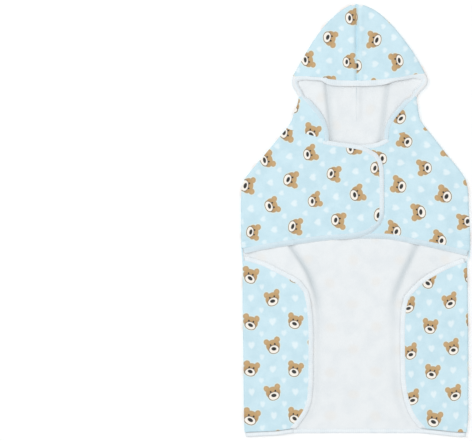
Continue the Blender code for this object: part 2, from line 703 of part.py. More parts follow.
def main():
    clear_scene()
    robe = bpy.data.collections.new("dog_bathrobe")
    bpy.context.scene.collection.children.link(robe)
    build_back(robe)
    for side in (LEFT, RIGHT):
        build_flap(side, robe)
    build_chest(robe)
    build_hood(robe)
    build_hem(robe)


main()
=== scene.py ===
"""Hooded dog bathrobe of printed fleece, lying flat with its front up, dressed for its looks.

Each piece of cloth is a thin shell on the form of its solid, with its folds set one by one, the print laid
on by a map of its own, and a soft folded binding with a run of stitches along its inner edge. Sizes in
the tables are millimetres: x to the viewer's right, height up from the bottom hem towards the hood.
"""

import logging
import math
from dataclasses import dataclass, field
from enum import Enum
from functools import partial
from typing import Callable, Iterator, Optional, Sequence

import bmesh
import bpy
import numpy as np
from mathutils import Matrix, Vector


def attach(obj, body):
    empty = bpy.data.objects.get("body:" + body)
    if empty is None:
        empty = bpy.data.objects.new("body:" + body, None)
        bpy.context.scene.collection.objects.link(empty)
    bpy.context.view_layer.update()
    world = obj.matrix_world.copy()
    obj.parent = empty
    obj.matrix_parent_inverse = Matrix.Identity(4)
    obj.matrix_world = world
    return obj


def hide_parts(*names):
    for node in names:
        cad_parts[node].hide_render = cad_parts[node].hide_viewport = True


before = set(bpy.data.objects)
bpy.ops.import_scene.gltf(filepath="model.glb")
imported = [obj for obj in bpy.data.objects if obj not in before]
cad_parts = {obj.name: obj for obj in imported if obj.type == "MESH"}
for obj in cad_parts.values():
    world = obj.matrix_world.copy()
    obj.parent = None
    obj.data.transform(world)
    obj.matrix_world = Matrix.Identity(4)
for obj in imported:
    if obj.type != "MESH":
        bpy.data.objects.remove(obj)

log = logging.getLogger("dog_bathrobe")

Array = np.ndarray
Curve = Callable[[Array], Array]
Rows = Sequence[Sequence[float]]
Grain = tuple[float, float]

MM = 0.001
LENGTH = 650.0


class Side(Enum):
    """A side of the robe as the viewer sees it."""

    LEFT = -1
    RIGHT = 1

    @property
    def label(self) -> str:
        """The side's name, as the nodes spell it."""
        return self.name.lower()


class Zone(Enum):
    """A part of the hood, by what its front edge is there."""

    CHEEK = "cheek"
    WING = "wing"
    BROW = "brow"


# ---- lines and grids ----


class Line:
    """A smooth line through table rows, by a knot that rises from row to row."""

    def __init__(self, knots: Sequence[float], rows: Rows, tight: bool = True) -> None:
        """Work out the slope at each row.

        Args:
            knots: the rising values that the rows stand at.
            rows: one row of values for each knot.
            tight: keep the line from overshooting any row's values.
        """
        self.knots = np.asarray(knots, float)
        self.rows = np.asarray(rows, float).reshape(len(self.knots), -1)
        run = np.diff(self.knots)[:, None]
        chords = np.diff(self.rows, axis=0) / run
        before, after = chords[:-1], chords[1:]
        if tight:
            same = before * after > 0
            inner = np.where(same, 2 * before * after / np.where(same, before + after, 1.0), 0.0)
        else:
            inner = (before * run[1:] + after * run[:-1]) / (run[1:] + run[:-1])
        self.slopes = np.vstack([chords[:1], inner, chords[-1:]])

    def at(self, knot: Array) -> Array:
        """The values at some knots.

        Args:
            knot: one number or an array of them.

        Returns:
            An array with one more axis than knot, which holds the row's values.
        """
        knot = np.clip(np.asarray(knot, float), self.knots[0], self.knots[-1])
        i = np.clip(np.searchsorted(self.knots, knot, side="right") - 1, 0, len(self.knots) - 2)
        run = (self.knots[i + 1] - self.knots[i])[..., None]
        t = (knot[..., None] - self.knots[i][..., None]) / run
        value = (1 + 2 * t) * (1 - t) ** 2 * self.rows[i] + t * t * (3 - 2 * t) * self.rows[i + 1]
        slope = t * (1 - t) ** 2 * self.slopes[i] + t * t * (t - 1) * self.slopes[i + 1]
        return value + run * slope


def smooth(share: Array) -> Array:
    """0 at 0 and below, 1 at 1 and above, with no corner between."""
    share = np.clip(share, 0.0, 1.0)
    return share * share * (3.0 - 2.0 * share)


def plan_curve(points: Rows) -> Curve:
    """The smooth curve through plan points, as a function of the share of the way along it."""
    points = np.asarray(points, float)
    steps = np.linalg.norm(np.diff(points, axis=0), axis=1)
    run = np.concatenate([[0.0], np.cumsum(steps)])
    line = Line(run / run[-1], points)
    return line.at


def patch(bottom: Array, top: Array, start: Array, end: Array, u: Array, v: Array) -> Array:
    """Plan points of the patch between four lines.

    Args:
        bottom: its points at v = 0, one for each u.
        top: its points at v = 1, one for each u.
        start: its points at u = 0, one for each v.
        end: its points at u = 1, one for each v.
        u: shares across.
        v: shares up.

    Returns:
        Points by row and column.
    """
    across, up = u[None, :, None], v[:, None, None]
    sides = start[:, None] * (1 - across) + end[:, None] * across
    ends = bottom[None] * (1 - up) + top[None] * up
    low = bottom[None, :1] * (1 - across) + bottom[None, -1:] * across
    high = top[None, :1] * (1 - across) + top[None, -1:] * across
    return sides + ends - (low * (1 - up) + high * up)


def join(plan: Array, height: Array) -> Array:
    """Points in space from plan points and their heights."""
    return np.concatenate([plan, height[..., None]], axis=-1)


def spans(start: float, end: float, pitch: float) -> Array:
    """Evenly spaced values from start to end, about a pitch apart."""
    return np.linspace(start, end, max(2, round(abs(end - start) / pitch)) + 1)


# ---- the robe's cut ----

SILHOUETTE = (  # height, left x, right x
    (0, -164.5, 165.5), (10, -166.5, 167.2), (40, -167.4, 169.0), (130, -168.4, 169.0),
    (220, -169.4, 168.0), (262, -169.4, 167.2), (271, -170.4, 171.2), (295, -171.6, 172.0),
    (340, -172.0, 169.9), (368, -171.3, 168.7), (385, -167.3, 165.3), (397, -158.8, 158.2),
    (427, -133.4, 134.2), (451, -113.3, 115.6), (463, -103.3, 105.8), (475, -95.8, 97.6),
    (487, -92.0, 94.3), (499, -87.3, 92.6), (509, -85.4, 91.8), (517, -89.4, 96.6),
    (523, -92.9, 102.6), (529, -95.0, 107.0), (535, -95.4, 108.3), (541, -93.9, 106.2),
    (547, -90.8, 103.2), (562, -82.3, 95.2), (580, -72.0, 84.2), (598, -60.6, 71.0),
    (616, -47.2, 56.2), (629, -34.6, 42.9), (639, -22.5, 30.5), (646, -11.0, 16.3), (649, -4.0, 8.5),
)
BODY_CREASES = (  # height, left x, right x, ridge
    (8, -88, 92, 0.0), (30, -74, 79, 0.8), (60, -63, 67, 1.0), (160, -61, 62, 1.0), (195, -62, 62, 1.8),
    (213, -65, 64, 3.2), (228, -70, 70, 3.8), (246, -77, 77, 4.0), (264, -88, 86, 4.0),
    (286, -103, 96, 2.8), (312, -120, 112, 1.2), (336, -130, 124, 0.0),
)
HOOD_CREASES = (
    (405, -40, 42, 0.0), (440, -41, 43, 2.4), (480, -45, 48, 3.0), (528, -50, 53, 2.6), (570, -52, 55, 0.0),
)
SIDE_GATHERS = (  # height, depth, reach
    (283.0, 0.8, 20), (289.5, 0.7, 26), (296.5, 0.8, 19), (304.0, 0.5, 23), (312.0, 0.4, 15),
)
FACE_SIDES = {  # the hood's cut edge from the neck up to the wing
    Side.LEFT: ((-46.5, 447.0), (-47.5, 458.0), (-51.5, 472.0), (-60.0, 486.0), (-70.5, 498.0),
                (-79.5, 508.5)),
    Side.RIGHT: ((49.5, 452.5), (50.5, 461.5), (56.0, 473.0), (64.5, 484.5), (75.5, 496.5), (86.0, 508.0)),
}
FLAP_SIDES = {  # the flap's cut edge from the bottom hem up to its shoulder
    Side.LEFT: ((-99.0, 12.5), (-84.5, 31.0), (-77.0, 43.5), (-72.5, 60.0), (-70.7, 90.0), (-70.6, 160.0),
                (-73.5, 197.0), (-77.8, 216.5)),
    Side.RIGHT: ((106.0, 13.0), (90.5, 31.0), (83.0, 46.0), (78.5, 62.0), (74.8, 90.0), (73.8, 160.0),
                 (75.3, 190.0), (79.5, 208.0)),
}
FLAP_TOPS = {  # the flap's cut edge from the side in to its shoulder
    Side.LEFT: ((-169.0, 264.5), (-143.0, 258.0), (-124.0, 249.0), (-105.0, 239.5), (-89.0, 230.5),
                (-77.8, 216.5)),
    Side.RIGHT: ((167.0, 261.5), (144.0, 254.5), (122.5, 244.0), (103.5, 232.5), (89.5, 219.5),
                 (79.5, 208.0)),
}
BROW = (
    (-93.0, 541.5), (-52.0, 539.0), (-29.0, 535.0), (1.5, 534.5), (25.0, 535.0), (55.0, 538.0),
    (103.0, 546.0),
)
HEM_LINE = (
    (-164.5, 0.5), (-121.0, 2.5), (-92.0, 5.8), (-4.0, 6.2), (94.0, 6.0), (125.0, 3.4), (155.0, 0.6),
    (165.5, 0.5),
)
BACK_NECK = ((-102.5, 464.0), (-60.0, 460.5), (0.0, 459.0), (60.0, 461.0), (103.5, 465.5))
HIDDEN_EDGE = -4.0
CHEST_HEMS = {
    Side.LEFT: ((-170.5, 283.0), (-140.0, 289.0), (-106.0, 294.5), (-53.0, 302.0), (-5.0, 306.0),
                (14.0, 310.5), (25.5, 316.5)),
    Side.RIGHT: ((171.0, 279.5), (149.0, 284.5), (116.0, 292.0), (91.0, 297.0), (44.0, 305.2),
                 (HIDDEN_EDGE, 306.0)),
}
NECKLINES = {
    Side.LEFT: ((-47.0, 439.0), (-30.0, 436.0), (-8.0, 433.0), (7.0, 430.3), (26.5, 420.5)),
    Side.RIGHT: ((48.5, 441.5), (33.0, 434.8), (17.0, 432.4), (HIDDEN_EDGE, 431.0)),
}
FREE_EDGES = {
    Side.LEFT: ((25.5, 316.5), (32.5, 323.5), (35.6, 334.0), (35.8, 370.0), (35.3, 398.0), (32.8, 411.0),
                (26.5, 420.5)),
    Side.RIGHT: (CHEST_HEMS[Side.RIGHT][-1], NECKLINES[Side.RIGHT][-1]),
}
# heights of the rim's stations on the wing, of the wing's top and of the side's neck corner, how far the
# rim runs on below the neck, and how long each zone of the hood is
WING_HEIGHTS = {Side.LEFT: (516.0, 523.0, 529.5, 536.0), Side.RIGHT: (515.5, 522.0, 528.5, 534.5, 540.5)}
WING_TOP = {Side.LEFT: 541.5, Side.RIGHT: 546.0}
NECK_HEIGHT = {Side.LEFT: 463.5, Side.RIGHT: 465.0}
RIM_TAILS = {Side.LEFT: 4.0, Side.RIGHT: 7.0}
ZONE_LENGTHS = {Zone.CHEEK: 50.0, Zone.WING: 34.0, Zone.BROW: 110.0}


@dataclass(frozen=True)
class Fold:
    """A soft ridge or trough along a line on the cloth.

    Attributes:
        points: the line that it follows in plan.
        height: how far it rises, or falls where negative.
        reach: how far it runs out to the left and to the right of its line.
        fade: how far along its line it takes to rise to full height at each end.
        sway: share by which its height comes and goes along it.
        sway_run: how slowly it does so.
        pitch: about how far apart its line is sampled.
        least_steps: the fewest steps that its line is sampled in.
    """

    points: tuple[tuple[float, float], ...]
    height: float
    reach: tuple[float, float]
    fade: tuple[float, float] = (18.0, 18.0)
    sway: float = 0.25
    sway_run: float = 17.0
    pitch: float = 5.0
    least_steps: int = 6

    def rise(self, plan: Array) -> Array:
        """Height of the fold over the smooth cloth.

        Args:
            plan: plan points.

        Returns:
            One height for each point.
        """
        length = np.linalg.norm(np.diff(np.asarray(self.points, float), axis=0), axis=1).sum()
        count = max(self.least_steps, int(length / self.pitch))
        stations = np.linspace(0.0, 1.0, count + 1)
        path = plan_curve(self.points)(stations)
        best = np.full(plan.shape[:-1], np.inf)
        hand = np.zeros(plan.shape[:-1])
        along = np.zeros(plan.shape[:-1])
        for k, (a, b) in enumerate(zip(path, path[1:])):
            step = b - a
            share = np.clip(((plan - a) @ step) / (step @ step), 0.0, 1.0)
            off = plan - (a + share[..., None] * step)
            gap = np.linalg.norm(off, axis=-1)
            near = gap < best
            best = np.where(near, gap, best)
            hand = np.where(near, step[0] * off[..., 1] - step[1] * off[..., 0], hand)
            along = np.where(near, (stations[k] + share / count) * length, along)
        reach = np.where(hand > 0, self.reach[0], self.reach[1])
        profile = smooth(1.0 - best / reach)
        ends = smooth(along / self.fade[0]) * smooth((length - along) / self.fade[1])
        sway = 1.0 - self.sway * (0.5 + 0.5 * np.sin(along / self.sway_run + self.points[0][0]))
        return self.height * profile * ends * sway


@dataclass(frozen=True)
class Form:
    """The shape that every piece of the robe lies on, with its sizes in millimetres."""

    cloth: float = 2.0
    seam_gap: float = 0.3
    neck_lap: float = 0.1
    layer_gap: float = 0.5
    roll: float = 2.0
    roll_fade: float = 20.0
    cover_reach: float = 12.0
    body_reach: tuple[float, float] = (45.0, 6.5)
    hood_reach: tuple[float, float] = (34.0, 7.0)
    groove: tuple[float, float] = (5.0, 6.0)
    swell: float = 0.45
    swell_fall: float = 0.7
    swell_fade: tuple[float, float] = (8.0, 34.0)
    # where the painted crease shade sits inside each crest, and how far it spreads out and in
    hollow_place: float = 5.0
    hollow_reach: tuple[float, float] = (6.4, 4.4)
    gather_spread: float = 3.2
    gather_depth: float = 1.35
    gather_fade: float = 1.25
    loft: float = 0.9
    loft_reach: tuple[float, float] = (6.0, 34.0)
    probe: float = 2.0
    full_ridge: float = 4.0
    cover_turns: int = 8
    settle_height: float = 0.3
    settle_peak: float = 2.9
    settle_side: tuple[float, float] = (5.0, 30.0)
    settle_hem: tuple[float, float] = (8.0, 26.0)
    lines: dict[str, Line] = field(init=False, repr=False)

    def __post_init__(self) -> None:
        """Fit the smooth lines to the tables."""
        tables = {
            "outline": SILHOUETTE, "body": BODY_CREASES, "hood": HOOD_CREASES,
            "brow": BROW, "hem": HEM_LINE, "neck": BACK_NECK,
        }
        lines = {
            name: Line([row[0] for row in rows], [row[1:] for row in rows]) for name, rows in tables.items()
        }
        object.__setattr__(self, "lines", lines)

    @property
    def step(self) -> float:
        """From the middle of one layer to the middle of the next."""
        return self.cloth + self.layer_gap

    def edge_height(self, name: str, x: Array) -> Array:
        """Height of the brow, hem or neck line at some x."""
        return self.lines[name].at(x)[..., 0]

    def silhouette(self, side: Side, height: Array) -> Array:
        """Plan points of the silhouette at some heights."""
        x = self.lines["outline"].at(height)[..., 0 if side is Side.LEFT else 1]
        return np.stack([x, np.asarray(height, float)], axis=-1)

    def outward(self, side: Side, height: Array) -> Array:
        """Plan directions square to the silhouette, away from the cloth."""
        height = np.asarray(height, float)
        along = self.silhouette(side, height + self.probe) - self.silhouette(side, height - self.probe)
        normal = np.stack([along[..., 1], -along[..., 0]], axis=-1) * side.value
        return normal / np.linalg.norm(normal, axis=-1, keepdims=True)

    def creases(self, plan: Array) -> Iterator[tuple[tuple[float, float], Array, Array, Array]]:
        """Go through the main creases of the lower layer.

        Args:
            plan: plan points.

        Yields:
            A crease's reach to its outer and its inner side, how far outside its crest each point lies,
            whether the point is on the crease's own half of the robe, and the crease's height there.
        """
        x, y = plan[..., 0], plan[..., 1]
        for name, reach in (("body", self.body_reach), ("hood", self.hood_reach)):
            line = self.lines[name]
            left, right, ridge = np.moveaxis(line.at(y), -1, 0)
            height = np.where((y > line.knots[0]) & (y < line.knots[-1]), ridge, 0.0)
            middle = left + (right - left) / 2
            for side, crest in ((Side.LEFT, left), (Side.RIGHT, right)):
                yield reach, (x - crest) * side.value, (x - middle) * side.value > 0, height

    def ridges(self, plan: Array) -> Array:
        """Height of the main creases of the lower layer above the flat cloth."""
        rise = np.zeros(plan.shape[:-1])
        for reach, out, mine, height in self.creases(plan):
            fold = smooth(1 - np.where(out > 0, out / reach[0], -out / reach[1]))
            deep = -out - self.groove[0]
            fall = 1 - self.swell_fall * smooth((deep - self.swell_fade[0]) / self.swell_fade[1])
            rise += height * (fold + self.swell * (smooth(deep / self.groove[1]) * fall) * mine)
        return rise

    def hollows(self, plan: Array) -> Array:
        """How deep in a crease of the lower layer each point lies, from 0 to 1: the mask of the lining's
        painted crease shade.
        """
        depth = np.zeros(plan.shape[:-1])
        for _, out, _, height in self.creases(plan):
            off = -out - self.hollow_place
            reach = np.where(off > 0, self.hollow_reach[0], self.hollow_reach[1])
            depth = np.maximum(depth, height / self.full_ridge * np.exp(-(off / reach) ** 2))
        return depth

    def inset(self, plan: Array) -> Array:
        """Distance in from the nearer side of the silhouette, level across."""
        left, right = np.moveaxis(self.lines["outline"].at(plan[..., 1]), -1, 0)
        return np.minimum(plan[..., 0] - left, right - plan[..., 0])

    def settle(self, plan: Array) -> Array:
        """Slow uneven rise that every layer shares, so that no part of the cloth is dead flat."""
        x, y = plan[..., 0], plan[..., 1]
        wave = (
            np.sin(x / 23.0 + 0.8 * np.sin(y / 41.0) + 0.6)
            + 0.8 * np.sin(y / 29.0 + 0.9 * np.sin(x / 37.0 + 1.3) + 2.1)
            + 0.6 * np.sin((x + 0.7 * y) / 16.0 + 1.1 * np.sin(y / 53.0))
            + 0.5 * np.sin((x - 1.2 * y) / 19.0 + 0.7)
        )
        at_side = smooth((self.inset(plan) - self.settle_side[0]) / self.settle_side[1])
        at_hem = smooth((y - self.settle_hem[0]) / self.settle_hem[1])
        return self.settle_height * (1.0 + np.clip(wave / self.settle_peak, -1.0, 1.0)) * (at_side * at_hem)

    def lower(self, plan: Array) -> Array:
        """Middle of the layer that lies on the floor."""
        return self.cloth / 2 + self.ridges(plan) + self.settle(plan)

    def upper(self, plan: Array, inside: Array, climb: Array = 0.0) -> Array:
        """Middle of an upper layer.

        Args:
            plan: plan points.
            inside: how far each point lies in from the roll.
            climb: how far it stands over a further layer below it.

        Returns:
            One height for each point.
        """
        under = self.ridges(plan)
        for turn in range(self.cover_turns):
            angle = 2 * math.pi * turn / self.cover_turns
            shift = self.cover_reach * np.array([math.cos(angle), math.sin(angle)])
            under = np.maximum(under, self.ridges(plan + shift))
        fade = 1.0 - smooth(inside / self.roll_fade)
        loft = self.loft * smooth((inside - self.loft_reach[0]) / self.loft_reach[1])
        rise = self.step + climb + loft + (2 * self.roll - self.step) * fade
        return self.cloth / 2 + under + self.settle(plan) + rise

    def roll_points(self, side: Side, height: Array, turns: Array) -> Array:
        """Points of the side roll.

        Args:
            side: which side.
            height: silhouette heights, one for each row.
            turns: places round the roll, from 0 under it to 1 on top of it.

        Returns:
            Points by row and turn.
        """
        angle = math.pi * np.asarray(turns, float)
        inset = self.cloth / 2 + self.roll - self.roll * np.sin(angle)
        height = np.atleast_1d(np.asarray(height, float))
        edge, out = self.silhouette(side, height), self.outward(side, height)
        plan = edge[:, None] - out[:, None] * inset[None, :, None]
        z = self.cloth / 2 + self.roll - self.roll * np.cos(angle)
        return join(plan, np.broadcast_to(z, plan.shape[:-1]))

    def gather(self, distance: Array, height: Array) -> Array:
        """Height of the small folds where the chest fronts' hems are gathered into the sides."""
        rise = np.zeros(np.broadcast(distance, height).shape)
        for level, depth, reach in SIDE_GATHERS:
            across = np.clip(np.abs(height - level) / self.gather_spread, 0.0, 1.0)
            fade = 1.0 - smooth(distance / (reach * self.gather_fade))
            rise = rise + self.gather_depth * depth * fade * 0.5 * (1 + np.cos(math.pi * across))
        return rise


# ---- meshes ----


def link(item: bpy.types.Object) -> bpy.types.Object:
    """Put an object in the scene and return it."""
    bpy.context.scene.collection.objects.link(item)
    return item


def to_world(points: Array) -> Array:
    """Points of the tables, in metres and in the shared frame."""
    return (np.asarray(points, float) - np.array([0.0, LENGTH / 2, 0.0])) * MM


def plain_mesh(item: bpy.types.Object) -> bpy.types.Object:
    """Replace an object's mesh with what its modifiers make of it, drop them and return the object."""
    bpy.context.view_layer.update()
    seen = item.evaluated_get(bpy.context.evaluated_depsgraph_get())
    mesh = bpy.data.meshes.new_from_object(seen)
    item.modifiers.clear()
    item.data = mesh
    mesh.name = item.name
    return item


@dataclass(frozen=True)
class PrintLay:
    """How the print lies on a piece: its axes as rows of a plan matrix, and its origin in millimetres."""

    across: tuple[float, float]
    up: tuple[float, float]
    origin: tuple[float, float]

    def map(self, plan: Array) -> Array:
        """Print coordinates in metres at some plan points."""
        turn = np.array([self.across, self.up])
        return (plan @ turn.T + np.array(self.origin)) * MM


@dataclass(frozen=True)
class Cells:
    """How the cells of a grid differ, by row and column.

    Attributes:
        keep: which cells are cloth.
        turned: which of them are turned over, so that the inner side shows outside.
        apart: sets of cells that carry a print map of their own, each with that map in metres, by row
            and column of points.
    """

    keep: Array
    turned: Array
    apart: tuple[tuple[Array, Array], ...]


@dataclass(frozen=True)
class Cloth:
    """Makes shells of cloth: the printed side is material 0 and the inner side material 1."""

    thickness: float = 2.0
    sharp_angle: float = math.radians(50.0)

    def build(
        self, name: str, points: Array, print_map: Array, finishes: Sequence[bpy.types.Material],
        flip: bool, differ: Optional[Cells] = None, hollows: Optional[Array] = None,
    ) -> bpy.types.Object:
        """Build a shell on a grid of points.

        Args:
            name: the piece's name.
            points: its middle surface, by row and column, in millimetres.
            print_map: the print's coordinates, by row and column, in metres.
            finishes: materials of the printed side and the inner side.
            flip: turn the faces over, so that the printed side is outside.
            differ: how its cells differ, if they do.
            hollows: how deep in a crease each point lies, from 0 to 1, where the lining is greyed as painted
                shade.

        Returns:
            The piece, as a plain mesh.
        """
        rows, columns = points.shape[:2]
        index = np.arange(rows * columns).reshape(rows, columns)
        corners = np.stack([index[:-1, :-1], index[:-1, 1:], index[1:, 1:], index[1:, :-1]], axis=-1)
        cells = corners.reshape(-1, 4) if differ is None else corners[differ.keep]
        if flip:
            cells = cells[:, ::-1]
        chart = print_map.reshape(-1, 2)[cells]
        turned = np.zeros(len(cells), np.int32)
        if differ is not None:
            for apart, own_map in differ.apart:
                chart = np.where(apart[differ.keep][:, None, None], own_map.reshape(-1, 2)[cells], chart)
            turned = differ.turned[differ.keep].astype(np.int32)
        used = np.unique(cells)
        place = np.full(rows * columns, -1)
        place[used] = np.arange(len(used))
        mesh = bpy.data.meshes.new(name)
        mesh.from_pydata(to_world(points.reshape(-1, 3)[used]).tolist(), [], place[cells].tolist())
        mesh.uv_layers.new(name="print").data.foreach_set("uv", chart.ravel())
        mesh.polygons.foreach_set("material_index", turned)
        # the mask of the lining's painted crease shade
        depth = np.zeros(rows * columns) if hollows is None else hollows.ravel()
        mesh.attributes.new("hollow", "FLOAT", "POINT").data.foreach_set("value", depth[used])
        mesh.shade_smooth()
        for finish in finishes:
            mesh.materials.append(finish)
        item = link(bpy.data.objects.new(name, mesh))
        wall = item.modifiers.new("cloth", "SOLIDIFY")
        wall.thickness = self.thickness * MM
        wall.offset = 0.0
        wall.use_even_offset = True
        wall.use_quality_normals = True
        wall.material_offset = 1
        wall.material_offset_rim = 0
        plain_mesh(item).data.set_sharp_from_angle(angle=self.sharp_angle)
        return item


@dataclass
class Ring:
    """One station of a binding.

    Attributes:
        centre: the middle of its section.
        across: the way that it spreads, out of the cloth.
        half_width: half its width.
        half_height: half its height.
        pale: how much whiter than the print's ground it is, from 0 to 1.
        droop: how far its outer edge falls towards the layer below.
    """

    centre: Array
    across: Array
    half_width: float
    half_height: float
    pale: float = 0.5
    droop: float = 0.0

    def row(self) -> list[float]:
        """Its numbers in one row."""
        return [*self.centre, *self.across, self.half_width, self.half_height, self.pale, self.droop]


def run_normals(edge: Array, hand: int, mitre: float = 0.65) -> Array:
    """Plan directions out of the cloth along a cut edge, lengthened where the edge turns.

    Args:
        edge: points along it.
        hand: 1 if the outside is on the left of the run, and -1 if it is on the right.
        mitre: the least share that a normal's lengthening divides by.

    Returns:
        One direction for each point.
    """
    along = np.diff(edge[:, :2], axis=0)
    along /= np.linalg.norm(along, axis=1, keepdims=True)
    normals = np.stack([-along[:, 1], along[:, 0]], axis=1) * hand
    normals = np.vstack([normals[:1], normals, normals[-1:]])
    middle = normals[:-1] + normals[1:]
    middle /= np.linalg.norm(middle, axis=1, keepdims=True)
    return middle / np.maximum(mitre, (middle * normals[1:]).sum(axis=1))[:, None]


@dataclass(frozen=True)
class BindingMaker:
    """Makes the soft folded strips that finish the cut edges, from a few stations along each."""

    cloth: float = 2.0
    rise: float = 0.6
    overlap: float = 0.7
    dip: float = 0.08
    climb: float = 0.3
    pitch: float = 1.9
    pucker: float = 0.16
    pucker_pitch: float = 7.4
    section: int = 16
    side_powers: tuple[float, float] = (0.82, 0.62)
    lift_powers: tuple[float, float] = (1.0, 0.8)
    under_share: float = 0.9
    end_run: float = 2.4
    end_share: float = 0.35
    droop: float = 1.0
    droop_from: float = 0.1
    edge_pale: float = 0.35
    edge_start: float = 0.3
    edge_run: float = 0.6
    crown_power: float = 3.2
    seam_rise: float = 0.05

    def edge_rings(
        self, edge: Array, inner: Array, hand: int, widths: Sequence[float], gap: float
    ) -> list[Ring]:
        """Stations of a binding that carries on a panel past its cut edge.

        Args:
            edge: the panel's edge points.
            inner: the panel's points next to them, further in.
            hand: 1 if the outside is on the left of the run, and -1 if it is on the right.
            widths: the binding's width at each point.
            gap: how far past the edge the solid's own binding starts.

        Returns:
            One ring for each point.
        """
        reach = np.maximum(1.0, np.linalg.norm((edge - inner)[:, :2], axis=1))
        slope = np.clip((edge - inner)[:, 2] / reach, -self.dip, self.climb)
        rings = []
        for point, normal, tilt, width in zip(edge, run_normals(edge, hand), slope, widths):
            across = np.array([normal[0], normal[1], tilt])
            low, high = gap - self.overlap, gap + width
            centre = point + across * (low + high) / 2 + np.array([0.0, 0.0, self.rise / 2])
            half_height = (self.cloth + self.rise) / 2
            rings.append(Ring(centre, across, (high - low) / 2, half_height, droop=self.droop))
        return rings

    def refine(self, rings: Sequence[Ring]) -> tuple[Array, ...]:
        """Smooth stations in between the given ones: run lengths along them and each number of their rows."""
        centres = np.array([ring.centre for ring in rings])
        run = np.concatenate([[0.0], np.cumsum(np.linalg.norm(np.diff(centres, axis=0), axis=1))])
        line = Line(run, [ring.row() for ring in rings], tight=False)
        stations = spans(0.0, run[-1], self.pitch)
        return (stations, *np.split(line.at(stations), (3, 6, 7, 8, 9), axis=1))

    def loft(self, rings: Sequence[Ring]) -> tuple[Array, Array, Array, Array]:
        """Run a rounded section with slight puckers through some stations.

        Args:
            rings: the stations.

        Returns:
            Run lengths along, distances round the section, and points and paleness by station and by
            place round the section.
        """
        stations, centres, across, half_width, half_height, pale, droop = self.refine(rings)
        angle = 2 * math.pi * np.arange(self.section) / self.section + math.pi / self.section
        side = np.cos(angle)
        lift = np.sign(np.sin(angle)) * np.abs(np.sin(angle)) ** np.where(side > 0, *self.lift_powers)
        side = np.sign(side) * np.abs(side) ** np.where(side > 0, *self.side_powers)
        phase = 2 * math.pi * stations / self.pucker_pitch
        drift = 1.1 * np.sin(stations / 13.0) + 0.7 * np.sin(stations / 5.3 + 1.0)
        pucker = (self.pucker * (0.6 + 0.4 * np.sin(stations / 31.0)) * np.sin(phase + drift))[:, None]
        ends = np.clip(np.minimum(stations, stations[-1] - stations) / self.end_run, 0.0, 1.0)[:, None]
        ends = self.end_share + (1 - self.end_share) * np.sqrt(ends * (2 - ends))
        crown = np.where(lift > 0, 1.0, self.under_share) * lift
        high = crown * half_height * ends + np.maximum(lift, 0.0) * pucker
        high -= droop * smooth((side + self.droop_from) / (1 + self.droop_from))
        wide = side[:, None] * (half_width + 0.5 * pucker)[:, None] * across[:, None]
        points = centres[:, None] + wide
        points[..., 2] += high
        steps = np.hypot(np.diff(side) * half_width.mean(), np.diff(lift))
        share = pale + self.edge_pale * smooth((side - self.edge_start) / self.edge_run)
        return stations, np.concatenate([[0.0], np.cumsum(steps)]), points, np.clip(share, 0.0, 1.0)

    def build(self, name: str, rings: Sequence[Ring], finish: bpy.types.Material) -> bpy.types.Object:
        """Build a strip.

        Args:
            name: the piece's name.
            rings: its stations.
            finish: its material.

        Returns:
            The piece, as a plain mesh with a map along and across it, in metres.
        """
        stations, around, points, pale = self.loft(rings)
        count, ring = points.shape[:2]
        index = np.arange(count * ring).reshape(count, ring)
        after = np.roll(index, -1, axis=1)
        cells = np.stack([index[:-1], after[:-1], after[1:], index[1:]], axis=-1).reshape(-1, 4).tolist()
        caps = [index[0].tolist(), index[-1].tolist()]
        mesh = bpy.data.meshes.new(name)
        mesh.from_pydata(to_world(points.reshape(-1, 3)).tolist(), [], cells + caps)
        layer = mesh.uv_layers.new(name="print")
        loops = np.empty(len(mesh.loops), dtype=np.int32)
        mesh.loops.foreach_get("vertex_index", loops)
        chart = np.stack([stations[loops // ring], around[loops % ring]], axis=1) * MM
        layer.data.foreach_set("uv", chart.ravel())
        mesh.attributes.new("pale", "FLOAT", "POINT").data.foreach_set("value", pale.ravel())
        work = bmesh.new()
        work.from_mesh(mesh)
        bmesh.ops.recalc_face_normals(work, faces=work.faces)
        work.to_mesh(mesh)
        work.free()
        mesh.shade_smooth()
        mesh.materials.append(finish)
        return link(bpy.data.objects.new(name, mesh))

    def seam_path(self, rings: Sequence[Ring], inset: float) -> Array:
        """Points along a binding's top, where its stitches run.

        Args:
            rings: its stations.
            inset: how far the stitches stand in from the binding's inner edge.

        Returns:
            Points in millimetres.
        """
        _, centres, across, half_width, half_height, _, _ = self.refine(rings)
        share = -(half_width - inset) / half_width
        crown = np.sqrt(np.clip(1 - np.abs(share) ** self.crown_power, 0.0, 1.0))
        path = centres + across * (share * half_width)
        path[:, 2:] += crown * half_height + self.seam_rise
        return path


def add_node(
    tree: bpy.types.NodeTree, kind: str, values: Optional[dict[object, object]] = None, **settings: object
) -> bpy.types.Node:
    """Add a node to a tree.

    Args:
        tree: the tree.
        kind: the node's type.
        values: what its sockets hold or are linked from, by name or number.
        settings: its own settings, which are set first.

    Returns:
        The node.
    """
    node = tree.nodes.new(kind)
    for name, setting in settings.items():
        setattr(node, name, setting)
    for key, value in (values or {}).items():
        if isinstance(value, bpy.types.NodeSocket):
            tree.links.new(value, node.inputs[key])
        else:
            node.inputs[key].default_value = value
    return node


